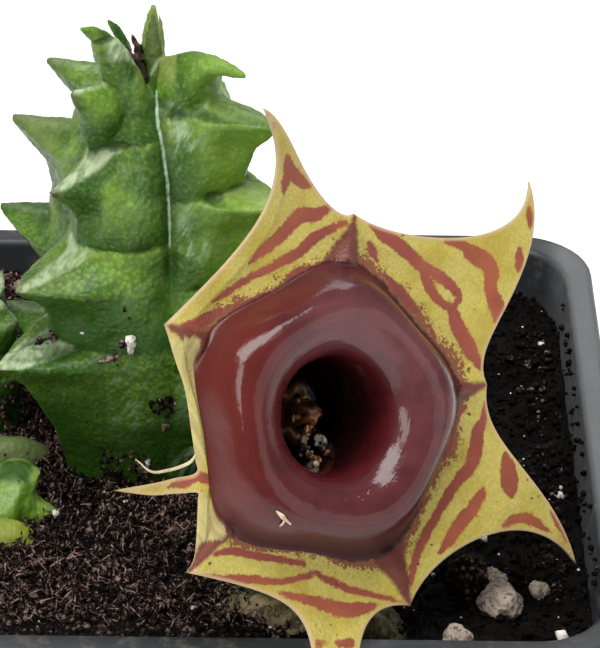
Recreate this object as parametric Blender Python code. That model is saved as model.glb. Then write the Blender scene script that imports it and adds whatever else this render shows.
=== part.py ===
# A potted lifesaver plant: a square nursery pot with soil, ribbed toothed stems and one large star flower.
# Units here are millimetres, turned into metres as each mesh is made. Heights of plants are from the rim.

import math

import bmesh
import bpy
from mathutils import Matrix, Vector, noise

MM = 0.001
GAP = 0.35  # clear space between two pieces that lie against each other

pot = {
    "width": 70.0,  # outside of the rim
    "height": 65.0,
    "foot_width": 50.0,
    "corner": 7.0,
    "lip": 2.8,
    "skirt": 5.0,
    "wall": 1.0,
    "floor": 1.4,
    "edge": 0.5,
    "side_points": 3,
    "corner_points": 5,
    "hole_radius": 2.2,
    "hole_ring": 17.0,
}

soil = {
    "level": -3.3,  # at the middle, from the rim
    "heap": 2.3,  # how much higher it lies at the front left
    "dip": 1.9,  # how much lower it lies at the right
    "relief": 0.55,
    "hole_top": 1.6,  # where the cutters of the stems' holes end, clear of the soil
    "ring_step": 3.3,
}

# A stem's ribs are (azimuth, teeth) from the crown down. A tooth is (height of its tip, its reach from the
# axis, height of the notch below it, the rib's reach there).
main_stem = {
    "foot": (-9.3, 1.0),
    "top": (-7.2, -0.4),
    "profile": (
        (-10.5, 3.0), (-9.6, 5.4), (-6.0, 7.4), (-1.0, 8.6), (5.0, 9.8), (12.5, 10.4), (18.0, 9.8),
        (24.0, 8.9), (30.0, 7.6), (34.0, 6.3), (36.6, 4.9), (38.6, 3.4), (39.0, 2.0), (38.5, 0.9),
    ),
    "furrow": 0.70,
    "front_furrow": ((8.0, 0.68), (38.0, 0.44)),  # where it lies from the first rib to the second, by height
    "tooth_spread": 46.0,  # degrees to each side of a rib over which its teeth run out
    "shelf": 1.2,  # height over which a tooth's upper edge runs back to the rib
    "lift": 0.7,  # how much higher a tooth's tip is than its root
    "ribs": (
        (219.0, (
            (38.2, 10.4, 32.8, 8.6), (28.8, 12.4, 23.1, 9.1), (19.6, 16.0, 13.2, 11.4),
            (12.0, 18.0, 5.8, 11.6), (4.6, 14.6, -1.0, 10.4),
        )),
        (324.0, (
            (36.0, 13.8, 29.0, 9.2), (28.0, 15.0, 20.6, 10.2), (18.6, 16.4, 12.4, 11.2),
            (9.0, 15.8, 3.0, 10.8),
        )),
        (58.0, (
            (33.2, 10.8, 29.6, 8.6), (27.0, 14.8, 20.4, 10.2), (18.0, 16.0, 11.4, 11.2),
            (8.0, 15.6, 2.0, 10.6),
        )),
        (152.0, (
            (35.2, 13.0, 32.2, 9.7), (28.2, 16.6, 23.0, 11.7), (18.2, 17.7, 12.8, 11.6),
            (7.0, 17.2, 1.6, 10.8),
        )),
    ),
}

side_stem = {
    "foot": (-25.8, 3.2),
    "top": (-25.8, 3.4),
    "profile": (
        (-9.0, 1.4), (-8.4, 2.6), (-4.5, 3.6), (0.0, 4.2), (5.0, 4.4), (9.0, 3.9), (11.0, 3.0),
        (11.8, 1.8), (11.6, 0.8),
    ),
    "furrow": 0.7,
    "front_furrow": ((0.0, 0.5),),
    "tooth_spread": 48.0,
    "shelf": 0.9,
    "lift": 0.9,
    "ribs": (
        (-28.0, ((9.4, 5.0, 6.6, 4.2), (3.6, 5.0, -0.4, 4.3))),
        (62.0, ((11.0, 5.2, 7.6, 3.6), (1.6, 5.0, -2.6, 4.3))),
        (152.0, ((10.2, 4.8, 7.0, 4.0), (4.2, 5.2, 0.4, 4.2))),
        (242.0, ((9.6, 5.0, 6.6, 4.2), (3.0, 4.8, -0.6, 3.9))),
    ),
}

# The young offset's crown, half out of the soil.
offset_stem = {
    "foot": (-22.4, -12.2),
    "top": (-21.2, -10.6),
    "profile": (
        (-9.6, 1.6), (-8.8, 3.4), (-6.2, 4.2), (-3.6, 4.0), (-2.0, 3.8), (-0.2, 3.3), (1.2, 2.4), (1.8, 1.3),
        (1.7, 0.6),
    ),
    "furrow": 0.9,
    "front_furrow": ((0.0, 0.5),),
    "tooth_spread": 42.0,
    "shelf": 0.8,
    "lift": 0.3,
    "ribs": (
        (-6.0, ((-1.6, 5.6, -4.4, 4.2),)),
        (84.0, ((-0.2, 3.9, -2.6, 3.6),)),
        (176.0, ((-2.2, 5.2, -4.8, 4.2),)),
        (268.0, ((-2.8, 5.6, -5.4, 4.2),)),
    ),
}

# Small leaves and horned teeth on the main stem's crown: (root, tip, arch, width, thickness), from the rim.
crown_leaves = {
    "tall_leaf": ((-8.0, -0.6, 36.4), (-8.0, 0.3, 44.4), (0.3, -0.2, 0.0), 2.3, 1.8),
    "back_leaf": ((-7.3, 1.8, 36.4), (-7.4, 2.6, 42.6), (0.2, 0.0, 0.0), 1.4, 1.1),
    "small_leaf": ((-9.9, 1.6, 36.0), (-12.5, 2.5, 41.4), (0.5, 0.0, 0.4), 2.2, 1.5),
    "front_tooth": ((-9.7, -2.2, 34.6), (-14.1, -5.6, 44.7), (1.5, 0.0, 0.7), 5.2, 4.0),
    "right_tooth": ((-6.0, -1.6, 36.0), (0.4, -5.9, 40.1), (0.0, 0.0, 1.9), 5.2, 5.4),
}

lying_stems = {
    "creeping_stem": {
        "start": (-30.2, -3.7, -1.7), "end": (-18.4, -2.5, -3.0), "radius": 2.3, "ridges": 4, "depth": 0.10,
        "wrinkle": 0.15,
    },
    "old_stem": {
        "start": (-2.4, -24.6, -4.4), "end": (15.2, -27.6, -4.6), "radius": 4.5, "ridges": 5, "depth": 0.16,
        "wrinkle": 0.55,
    },
}

stones = {  # (x, y, radius)
    "pumice_1": (23.4, -21.6, 1.9),
    "pumice_2": (22.9, -18.4, 1.2),
    "pumice_3": (19.2, -27.6, 1.4),
    "pumice_4": (-19.0, 23.0, 1.5),
    "pumice_5": (9.5, 24.5, 1.3),
    "pumice_6": (27.0, -19.4, 0.9),
}

flower = {
    "centre": (7.2, -24.9, 18.0),
    "azimuth": -57.7,  # where the flower looks, over the ground
    "elevation": 28.8,
    "spin": -16.9,
    "first_lobe": 45.4,
    "ring_edge": 12.3,  # outer edge of the thick ring
    "ring_corner": 0.75,  # how far its outline is drawn out towards the small teeth
    "limb": 1.0,  # thickness
    "margin": 0.7,
    "tube_floor": -7.2,
    "tube_base": -8.4,
}

stalk = {
    "foot": (-1.6, -8.8),
    "sunk": 3.6,
    "radius": 1.35,
    "points": 10,
    "calyx_sides": 40,
}

# The calyx: (radius between the sepals, radius on a sepal, height on a sepal, height between them).
calyx_profile = (
    (0.8, 0.8, -2.0, -2.0), (2.0, 2.2, -1.9, -1.9), (3.4, 4.6, -1.2, -1.2), (4.8, 7.0, 0.8, -0.9),
    (5.6, 8.2, 4.0, -0.7), (5.4, 7.5, 4.2, -0.2), (4.6, 6.7, 1.2, 0.0), (3.2, 4.2, 0.0, 0.0),
    (0.8, 0.8, 0.0, 0.0),
)

# The front of the flower from the floor of its tube, over the thick ring and down to the foot of the limb,
# and its back from there to the base of the tube: (radius, height).
ring_profile = (
    (1.6, -7.2), (3.2, -7.0), (3.9, -5.6), (4.2, -3.0), (4.5, 0.0), (4.9, 2.3), (5.5, 3.8), (6.7, 4.7),
    (8.4, 4.5), (9.9, 3.4), (11.3, 1.6), (12.3, 0.1),
)
back_profile = (
    (12.3, -1.3), (10.2, -1.2), (7.6, -1.7), (6.2, -3.2), (5.8, -5.4), (5.4, -7.4), (3.6, -8.4), (1.4, -8.4),
)

# Each lobe in its own frame, along its axis and across it: how far the small tooth at its left reaches from
# the middle, the lobe's tip, and the handles of its two margins, which run from the teeth to the tip. A fold
# is (distance from the middle, degrees that the lobe bends back there, radius); below zero it bends forward.
lobes = (
    {
        "tooth": 17.4, "tip": (29.9, -0.8), "folds": ((16.0, 10.0, 30.0),),
        "left": ((15.1, 5.3), (24.9, -5.2)), "right": ((14.4, -4.7), (26.3, -7.9)),
    },
    {
        "tooth": 16.9, "tip": (27.5, -4.2), "folds": ((14.6, -28.0, 14.0),),
        "left": ((16.8, -2.3), (18.4, -6.4)), "right": ((14.0, -7.2), (24.6, -7.1)),
    },
    {
        "tooth": 18.3, "tip": (30.5, 5.4), "folds": ((11.6, 88.0, 1.6),),
        "left": ((11.8, 5.2), (11.6, 4.6)), "right": ((11.6, -1.0), (11.6, 2.6)),
    },
    {
        "tooth": 18.6, "tip": (29.6, 3.0), "folds": ((21.5, 42.0, 5.0), (15.3, -15.0, 9.0)),
        "left": ((14.9, 3.0), (26.3, 8.1)), "right": ((15.8, 4.2), (17.0, 0.6)),
    },
    {
        "tooth": 16.3, "tip": (30.1, -0.2), "folds": ((16.0, 8.0, 30.0),),
        "left": ((15.0, 3.9), (23.7, 5.7)), "right": ((14.6, -5.0), (22.3, 3.1)),
    },
)
rib_steps = (0.0, 0.14, 0.30, 0.43, 0.5, 0.57, 0.70, 0.86)  # shares of the way from one rib to the next
lobe_steps = (-1.0, -0.86, -0.68, -0.48, -0.28, -0.12, 0.0, 0.12, 0.28, 0.48, 0.68, 0.86)
limb_steps = (0.22, 0.48, 0.76, 1.0)

finishes = {  # colour, roughness
    "pot_plastic": ((0.035, 0.036, 0.040), 0.55),
    "potting_soil": ((0.022, 0.014, 0.010), 0.95),
    "green_skin": ((0.085, 0.21, 0.030), 0.42),
    "young_green": ((0.26, 0.40, 0.05), 0.45),
    "withered_skin": ((0.16, 0.12, 0.055), 0.85),
    "petal": ((0.58, 0.47, 0.11), 0.45),
    "corona_flesh": ((0.36, 0.13, 0.03), 0.5),
    "stalk_green": ((0.18, 0.26, 0.06), 0.5),
    "pumice": ((0.42, 0.37, 0.31), 0.9),
}


def material(name):
    colour, roughness = finishes[name]
    made = bpy.data.materials.get(name) or bpy.data.materials.new(name)
    made.use_nodes = True
    shader = made.node_tree.nodes["Principled BSDF"]
    shader.inputs["Base Color"].default_value = (*colour, 1.0)
    shader.inputs["Roughness"].default_value = roughness
    return made


def new_collection(name):
    made = bpy.data.collections.new(name)
    bpy.context.scene.collection.children.link(made)
    return made


def add_object(name, bm, home, finish=None):
    """One object from a bmesh in millimetres, with its faces turned outwards."""
    bmesh.ops.recalc_face_normals(bm, faces=bm.faces)
    bmesh.ops.scale(bm, vec=(MM, MM, MM), verts=bm.verts)
    mesh = bpy.data.meshes.new(name)
    bm.to_mesh(mesh)
    bm.free()
    made = bpy.data.objects.new(name, mesh)
    home.objects.link(made)
    if finish:
        mesh.materials.append(material(finish))
    return made


def loft(rings):
    """A closed skin: the first ring is capped, its edge extruded to each next ring, and the last capped."""
    bm = bmesh.new()
    bmesh.ops.create_circle(bm, cap_ends=True, segments=len(rings[0]), radius=1.0)
    loop = list(bm.verts)
    edges = list(bm.edges)
    for vert, point in zip(loop, rings[0]):
        vert.co = point
    for ring in rings[1:]:
        grown = bmesh.ops.extrude_edge_only(bm, edges=edges)["geom"]
        fresh = {item for item in grown if isinstance(item, bmesh.types.BMVert)}
        loop = [next(e.other_vert(v) for e in v.link_edges if e.other_vert(v) in fresh) for v in loop]
        edges = [e for e in grown if isinstance(e, bmesh.types.BMEdge) and set(e.verts) <= fresh]
        for vert, point in zip(loop, ring):
            vert.co = point
    bm.faces.new(loop)
    return bm


def hide_cutter(cutter):
    cutter.hide_render = True
    cutter.display_type = "WIRE"


def cut(target, cutter, how="DIFFERENCE"):
    step = target.modifiers.new(f"{how.lower()} {cutter.name}", "BOOLEAN")
    step.operation = how
    step.solver = "EXACT"
    step.object = cutter
    hide_cutter(cutter)


def between(pairs, at):
    """The value at a place in a list of (place, value), along straight lines."""
    if at <= pairs[0][0]:
        return pairs[0][1]
    for (low, first), (high, last) in zip(pairs, pairs[1:]):
        if at <= high:
            return first + (last - first) * (at - low) / (high - low)
    return pairs[-1][1]


def rounded_square(half, corner, z):
    """Points around a square with rounded corners, the same number for every size."""
    points = []
    for quarter in range(4):
        turn = Matrix.Rotation(math.radians(90 * quarter), 3, "Z")
        reach = half - corner
        for step in range(pot["corner_points"]):
            angle = math.radians(90 * step / (pot["corner_points"] - 1))
            x, y = reach + corner * math.cos(angle), reach + corner * math.sin(angle)
            points.append(turn @ Vector((x, y, z)))
        for step in range(1, pot["side_points"] + 1):
            along = reach - 2 * reach * step / (pot["side_points"] + 1)
            points.append(turn @ Vector((along, half, z)))
    return points


def inner_half(z):
    """Half the pot's inner width at a height from its foot."""
    foot = pot["foot_width"] / 2 - pot["wall"]
    top = pot["width"] / 2 - pot["lip"]
    return foot + (top - foot) * (z - pot["floor"]) / (pot["height"] - pot["floor"])


def make_pot(home, cutters):
    half, foot, height = pot["width"] / 2, pot["foot_width"] / 2, pot["height"]
    corner, wall, edge = pot["corner"], pot["wall"], pot["edge"]
    under_skirt = height - pot["skirt"]
    wall_top = inner_half(under_skirt) + wall
    lip_inner = half - pot["lip"]
    rings = [
        rounded_square(foot - edge, corner - 2 - edge, 0.0),
        rounded_square(foot, corner - 2, edge),
        rounded_square(wall_top, corner - 1, under_skirt),
        rounded_square(half - edge / 2, corner, under_skirt),
        rounded_square(half, corner, height - edge),
        rounded_square(half - edge, corner - edge, height),
        rounded_square(lip_inner + edge, corner - 1.5 + edge, height),
        rounded_square(lip_inner, corner - 2, height - edge),
        rounded_square(inner_half(pot["floor"]), corner - 3, pot["floor"]),
    ]
    shell = add_object("pot", loft(rings), home, "pot_plastic")
    for number in range(8):
        angle = math.radians(45 * number)
        bm = bmesh.new()
        bmesh.ops.create_cone(
            bm, cap_ends=True, segments=14, radius1=pot["hole_radius"], radius2=pot["hole_radius"], depth=6.0
        )
        ring = pot["hole_ring"]
        bmesh.ops.translate(bm, verts=bm.verts, vec=(ring * math.cos(angle), ring * math.sin(angle), 0.5))
        cut(shell, add_object(f"drain_hole_{number + 1}", bm, cutters))


def soil_top(x, y):
    """Height of the soil from the rim: heaped at the front left, low at the right."""
    heap = min(max((-0.6 * x - 0.8 * y - 4.0) / 26.0, 0.0), 1.0)
    dip = min(max((x - 2.0) / 24.0, 0.0), 1.0)
    rough = noise.noise(Vector((x, y, 0.0)) * 0.16) + 0.5 * noise.noise(Vector((x, y, 9.0)) * 0.4)
    return soil["level"] + soil["heap"] * heap - soil["dip"] * dip + soil["relief"] * rough


def make_soil(home, buried):
    low = pot["floor"] + GAP
    side_top = pot["height"] + soil["level"]
    rings = [rounded_square(inner_half(low) - GAP, pot["corner"] - 3, low)]
    reach = inner_half(side_top - 3.0) - GAP
    size = reach
    while size > 1.0:
        ring = rounded_square(size, (pot["corner"] - 2) * size / reach, 0.0)
        for point in ring:
            point.z = pot["height"] + soil_top(point.x, point.y)
        rings.append(ring)
        size -= soil["ring_step"]
    rings.append(rounded_square(0.5, 0.3, pot["height"] + soil_top(0.0, 0.0)))  # a level middle to close
    ground = add_object("soil", loft(rings), home, "potting_soil")
    for cutter in buried:
        cut(ground, cutter)


def rib_reach(spec, teeth, z):
    """How far a rib reaches at a height, and how much of that is tooth."""
    above = between(spec["profile"], z)
    for tip, reach, notch, neck in teeth:
        if z > tip:
            share = min((z - tip) / spec["shelf"], 1.0)
            return reach + (above - reach) * share, 1.0 - share
        if z > notch:
            share = (z - notch) / (tip - notch)
            return neck + (reach - neck) * share ** 1.8, share ** 3
        above = neck
    plain = between(spec["profile"], z)
    return plain + max(above - plain, 0.0) * max(1.0 - (teeth[-1][2] - z) / 5.0, 0.0), 0.0


def stem_rows(spec, step):
    """Heights of the rings: at every tip, shelf and notch, with plain rows between them."""
    low, high = spec["profile"][0][0], spec["profile"][-3][0]
    fixed = {low, high}
    for _, teeth in spec["ribs"]:
        for tip, _, notch, _ in teeth:
            fixed |= {z for z in (tip, tip + spec["shelf"], notch) if low < z < high}
    rows = [low]
    for z in sorted(fixed)[1:]:
        if z - rows[-1] < 0.35:
            continue
        start = rows[-1]
        count = math.ceil((z - start) / step)
        rows += [start + (z - start) * n / count for n in range(1, count + 1)]
    return rows


def stem_rings(spec, step, hole=False):
    """Rings of a four-ribbed stem, or of the wider hole that it stands in, which ends above the soil."""
    profile = spec["profile"]
    foot, top = Vector((*spec["foot"], 0.0)), Vector((*spec["top"], 0.0))
    low, high = profile[0][0], profile[-3][0]
    azimuths = [azimuth for azimuth, _ in spec["ribs"]]
    rows = [(z, between(profile, z)) for z in stem_rows(spec, step)] + list(profile[-2:])
    grow = GAP if hole else 0.0
    if hole:
        top_row = (soil["hole_top"], between(profile, soil["hole_top"]))
        rows = [(low - GAP, profile[0][1])] + [row for row in rows if row[0] < top_row[0] - 0.5] + [top_row]
    rings = []
    for number, (z, radius) in enumerate(rows):
        centre = foot.lerp(top, min(max(z / high, 0.0), 1.0))
        fade = min(max((z - low) / 4.0, 0.0), 1.0)
        crown = number >= len(rows) - 2 and not hole
        ring = []
        for quarter, start in enumerate(azimuths):
            span = (azimuths[(quarter + 1) % len(azimuths)] - start) % 360.0
            split = between(spec["front_furrow"], z) if quarter == 0 else 0.5
            for share in rib_steps:
                off = 1.0 - abs(2.0 * share - 1.0)  # 0 on a rib, 1 in a furrow
                teeth = spec["ribs"][quarter if share <= 0.5 else (quarter + 1) % len(azimuths)][1]
                reach, tooth = (radius, 0.0) if crown else rib_reach(spec, teeth, z)
                depth = spec["furrow"] + (1.0 - spec["furrow"]) * math.sqrt(max(1.0 - off ** 2.2, 0.0))
                depth = 1.0 + (depth - 1.0) * fade
                place = 2.0 * share * split if share <= 0.5 else 1.0 - 2.0 * (1.0 - share) * (1.0 - split)
                turned = span * min(place, 1.0 - place)
                share_out = max(1.0 - turned / spec["tooth_spread"], 0.0) ** 2
                out = radius * depth + (reach - radius) * share_out + grow
                angle = math.radians(start + span * place)
                spot = centre + Vector((math.cos(angle) * out, math.sin(angle) * out, 0.0))
                spot.z = pot["height"] + z + spec["lift"] * tooth * share_out
                ring.append(spot)
        rings.append(ring)
    return rings


def leaf_rings(root, tip, arch, width, thickness):
    """Rings of a small pointed leaf or horn from its root to its tip, arched between them."""
    root, tip, arch = Vector(root), Vector(tip), Vector(arch)
    side = (tip - root).cross(Vector((0.55, -0.83, 0.0))).normalized()
    rings = []
    for share, size in ((0.0, 0.86), (0.3, 1.0), (0.55, 0.80), (0.78, 0.48), (0.93, 0.22), (1.0, 0.07)):
        along = (tip - root + arch * math.pi * math.cos(math.pi * share)).normalized()
        front = side.cross(along).normalized()
        centre = root.lerp(tip, share) + arch * math.sin(math.pi * share) + Vector((0.0, 0.0, pot["height"]))
        ring = []
        for step in range(10):
            angle = 2.0 * math.pi * step / 10
            spot = side * math.cos(angle) * width / 2 + front * math.sin(angle) * thickness / 2
            ring.append(centre + spot * size)
        rings.append(ring)
    return rings


def make_stems(home, cutters):
    """The three standing stems, and for each a slightly wider copy that cuts its hole in the soil."""
    holes = []
    for name, spec, finish, step in (
        ("main_stem", main_stem, "green_skin", 2.4),
        ("side_stem", side_stem, "green_skin", 3.0),
        ("offset_stem", offset_stem, "young_green", 1.6),
    ):
        made = add_object(name, loft(stem_rings(spec, step)), home, finish)
        holes.append(add_object(f"{name}_hole", loft(stem_rings(spec, step, hole=True)), cutters))
        if name == "main_stem":
            for leaf, shape in crown_leaves.items():
                cut(made, add_object(leaf, loft(leaf_rings(*shape)), cutters), "UNION")
    return holes


def lying_rings(spec, grow=0.0, sides=14, rows=15):
    """Rings of a rounded, wrinkled stem that lies in the soil."""
    start, end = Vector(spec["start"]), Vector(spec["end"])
    along = (end - start).normalized()
    across = along.cross(Vector((0.0, 0.0, 1.0))).normalized()
    up = across.cross(along)
    rings = []
    for row in range(rows):
        share = 0.5 - 0.485 * math.cos(math.pi * row / (rows - 1))
        centre = start.lerp(end, share)
        radius = spec["radius"] * math.sqrt(max(1.0 - abs(2.0 * share - 1.0) ** 3.2, 0.0))
        ring = []
        for side in range(sides):
            angle = 2.0 * math.pi * side / sides
            fold = 1.0 - spec["depth"] * (0.5 - 0.5 * math.cos(spec["ridges"] * angle + share))
            spot = centre + (across * math.cos(angle) + up * math.sin(angle)) * radius * fold
            wrinkle = spec["wrinkle"] * noise.noise(spot * 0.45)
            spot += (spot - centre).normalized() * (wrinkle + grow)
            spot.z += pot["height"]
            ring.append(spot)
        rings.append(ring)
    return rings


def make_lying_stems(home, cutters):
    holes = []
    for name, finish in (("creeping_stem", "green_skin"), ("old_stem", "withered_skin")):
        add_object(name, loft(lying_rings(lying_stems[name])), home, finish)
        holes.append(add_object(f"{name}_hole", loft(lying_rings(lying_stems[name], GAP)), cutters))
    return holes


def stone_mesh(x, y, radius, grow):
    """A rough stone, half sunk where it lies."""
    bm = bmesh.new()
    bmesh.ops.create_icosphere(bm, subdivisions=2, radius=1.0)
    centre = Vector((x, y, pot["height"] + soil_top(x, y) + 0.2 * radius))
    for vert in bm.verts:
        lumps = 1.0 + 0.28 * noise.noise(vert.co * 1.3 + centre)
        vert.co = centre + vert.co * (radius * lumps + grow)
    return bm


def make_stones(home, cutters):
    holes = []
    for name, (x, y, radius) in stones.items():
        add_object(name, stone_mesh(x, y, radius, 0.0), home, "pumice")
        holes.append(add_object(f"{name}_hole", stone_mesh(x, y, radius, GAP), cutters))
    return holes


def flower_frame():
    """The flower's own axes in the pot's frame: Z looks out of the flower, X to its right."""
    azimuth, elevation = math.radians(flower["azimuth"]), math.radians(flower["elevation"])
    out = Vector((
        math.cos(azimuth) * math.cos(elevation), math.sin(azimuth) * math.cos(elevation), math.sin(elevation)
    ))
    right = Vector((0.0, 0.0, 1.0)).cross(out).normalized()
    up = out.cross(right)
    frame = Matrix((right, up, out)).transposed().to_4x4()
    x, y, z = flower["centre"]
    frame = Matrix.Translation((x, y, z + pot["height"])) @ frame
    return frame @ Matrix.Rotation(math.radians(flower["spin"]), 4, "Z")


def bezier(points, t):
    a, b, c, d = (Vector(point) for point in points)
    s = 1.0 - t
    return a * s ** 3 + b * 3 * s * s * t + c * 3 * s * t * t + d * t ** 3


def tooth_spot(number, side):
    """The small tooth beside a lobe, in the lobe's frame: side is 1 for the left one, -1 for the right one."""
    reach = lobes[number if side > 0.0 else number - 1]["tooth"]
    angle = math.radians(36.0 * side)
    return Vector((reach * math.cos(angle), reach * math.sin(angle)))


def margin_point(number, share):
    """A point on a lobe's margin, in the lobe's frame: -1 at its right tooth, 0 at its tip, 1 at its left."""
    side = 1.0 if share >= 0.0 else -1.0
    handles = lobes[number]["left"] if share >= 0.0 else lobes[number]["right"]
    return bezier((tooth_spot(number, side), *handles, lobes[number]["tip"]), 1.0 - abs(share))


def limb_point(number, share, limb, foot):
    """A point of a lobe's flat blade, a share of the way out from its foot on the ring to its margin."""
    def middle(place):
        return (margin_point(number, place) + margin_point(number, -place)) / 2.0

    place = 1.0 - limb * (1.0 - abs(share))
    side = 1.0 if share >= 0.0 else -1.0
    out = abs(share) ** (1.0 - limb) if share or limb == 1.0 else 0.0
    spot = middle(place).lerp(margin_point(number, side * place), out)
    chord = middle(1.0).lerp(margin_point(number, side), abs(share))
    return spot + (foot - chord) * (1.0 - limb)


def bent(number, flat):
    """A point of a lobe after its folds: flat is its place along the lobe, across it and above the limb."""
    along, across, above = flat
    tooth = tooth_spot(number, 1.0 if across >= 0.0 else -1.0)
    wide = min(abs(across / tooth.y), 1.0)
    for place, bend, radius in lobes[number]["folds"]:
        fold = place + max(tooth.x - place, 0.0) * wide ** 2
        past = along - fold
        if past <= 0.0:
            continue
        sign = 1.0 if bend >= 0.0 else -1.0
        most = math.radians(abs(bend))
        turn = min(past / radius, most)
        rest = max(past - most * radius, 0.0)
        out = fold + math.sin(turn) * radius + math.cos(turn) * rest
        down = (1.0 - math.cos(turn)) * radius + math.sin(turn) * rest
        along = out + sign * above * math.sin(turn)
        above = above * math.cos(turn) - sign * down
    return Vector((along, across, above))


def ring_edge(angle):
    """Outer radius of the thick ring towards an angle: a soft pentagon, its corners at the small teeth."""
    corner = math.cos(5.0 * (angle - math.radians(flower["first_lobe"] + 36.0)))
    return flower["ring_edge"] + flower["ring_corner"] * corner


def corolla_ring(radius=None, height=None, limb=None, above=0.0):
    """One ring of points around the flower: on its ring or tube, or a share of the way out on the limb."""
    points = []
    for number in range(len(lobes)):
        axis = math.radians(flower["first_lobe"] + 72.0 * number)
        turn = Matrix.Rotation(axis, 3, "Z")
        for share in lobe_steps:
            local = math.radians(36.0 * share)
            edge = ring_edge(axis + local)
            if limb is None:
                out = radius / flower["ring_edge"]
                size = radius * (1.0 + (edge / flower["ring_edge"] - 1.0) * out ** 3)
                flat = Vector((size * math.cos(local), size * math.sin(local), height))
            else:
                foot = Vector((edge * math.cos(local), edge * math.sin(local)))
                spot = limb_point(number, share, limb, foot)
                flat = Vector((spot.x, spot.y, above))
            points.append(turn @ bent(number, flat))
    return points


def make_corolla(home):
    rings = [corolla_ring(radius=radius, height=height) for radius, height in ring_profile]
    rings += [corolla_ring(limb=share, above=0.1) for share in limb_steps]
    for share in reversed(limb_steps):
        thick = flower["limb"] + (flower["margin"] - flower["limb"]) * share
        rings.append(corolla_ring(limb=share, above=0.1 - thick))
    rings += [corolla_ring(radius=radius, height=height) for radius, height in back_profile]
    return add_object("corolla", loft(rings), home, "petal")


def make_corona(home):
    """The small five-lobed crown on the floor of the flower's tube."""
    sides = 30
    rings = []
    floor = flower["tube_floor"] + GAP
    for radius, height, star in (
        (0.8, 0.0, 0.0), (2.4, 0.0, 0.25), (2.8, 0.6, 0.35), (2.6, 1.2, 0.4), (1.7, 1.3, 0.3),
        (1.3, 2.6, 0.3), (0.7, 3.2, 0.2), (0.3, 3.1, 0.0),
    ):
        ring = []
        for side in range(sides):
            angle = 2.0 * math.pi * side / sides
            out = radius * (1.0 - star + star * math.cos(2.5 * angle) ** 2)
            ring.append(Vector((out * math.cos(angle), out * math.sin(angle), floor + height)))
        rings.append(ring)
    return add_object("corona", loft(rings), home, "corona_flesh")


def add_tube(name, route, radius, first, last, home):
    """A round stalk along a route, from one share of its length to another, as a mesh."""
    curve = bpy.data.curves.new(name, "CURVE")
    curve.dimensions = "3D"
    curve.bevel_depth = radius * MM
    curve.bevel_resolution = 2
    curve.use_fill_caps = True
    line = curve.splines.new("POLY")
    line.points.add(stalk["points"] - 1)
    for number, point in enumerate(line.points):
        share = first + (last - first) * number / (stalk["points"] - 1)
        point.co = (*(bezier(route, share) * MM), 1.0)
    guide = bpy.data.objects.new(name, curve)
    home.objects.link(guide)
    bpy.context.view_layer.update()
    mesh = bpy.data.meshes.new_from_object(guide.evaluated_get(bpy.context.evaluated_depsgraph_get()))
    bpy.data.objects.remove(guide)
    bm = bmesh.new()
    bm.from_mesh(mesh)
    bmesh.ops.remove_doubles(bm, verts=bm.verts, dist=0.001 * MM)
    bm.to_mesh(mesh)
    bm.free()
    made = bpy.data.objects.new(name, mesh)
    home.objects.link(made)
    return made


def stalk_route(frame):
    """From inside the calyx back and down into the soil at the foot of the main stem."""
    start = frame @ Vector((0.0, 0.0, flower["tube_base"] - GAP - 0.6))
    out = frame.to_3x3() @ Vector((0.0, 0.0, -1.0))
    x, y = stalk["foot"]
    end = Vector((x, y, pot["height"] + soil_top(x, y) - stalk["sunk"]))
    return start, start + out * 5.5, end + Vector((1.6, -1.0, 7.5)), end


def make_stalk(home, cutters, frame):
    """The calyx behind the flower, and the stalk that carries it, grown as one."""
    base = flower["tube_base"] - GAP
    rings = []
    for inner, outer, lobe_high, low in calyx_profile:
        ring = []
        for step in range(stalk["calyx_sides"]):
            angle = 2.0 * math.pi * step / stalk["calyx_sides"]
            on_lobe = abs(math.cos(2.5 * angle)) ** 3
            out = inner + (outer - inner) * on_lobe
            z = base + low + (lobe_high - low) * on_lobe
            ring.append(Vector((out * math.cos(angle), out * math.sin(angle), z)))
        rings.append(ring)
    calyx = add_object("flower_stalk", loft(rings), home, "stalk_green")
    calyx.matrix_world = placing(frame)
    cut(calyx, add_tube("stalk_tube", stalk_route(frame), stalk["radius"], 0.0, 1.0, cutters), "UNION")


def make_stalk_hole(cutters, frame):
    return add_tube("stalk_hole", stalk_route(frame), stalk["radius"] + GAP, 0.7, 1.02, cutters)


def placing(frame):
    """The flower's frame for an object whose mesh is already in metres."""
    return Matrix.Translation(frame.translation * MM) @ frame.to_3x3().to_4x4()


def main():
    for old in list(bpy.data.objects):
        bpy.data.objects.remove(old)
    home = new_collection("potted_lifesaver_plant")
    cutters = new_collection("cutters")
    make_pot(home, cutters)
    holes = make_stems(home, cutters)
    holes += make_lying_stems(home, cutters)
    holes += make_stones(home, cutters)
    frame = flower_frame()
    holes.append(make_stalk_hole(cutters, frame))
    make_soil(home, holes)
    for piece in (make_corolla(home), make_corona(home)):
        piece.matrix_world = placing(frame)
    make_stalk(home, cutters, frame)


main()
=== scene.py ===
# Looks for the potted lifesaver plant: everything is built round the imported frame.
# Lengths are in millimetres, and heights of plants are from the pot's rim.
import math
import random

import bpy
import numpy as np
from mathutils import Matrix, Vector, noise


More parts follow.
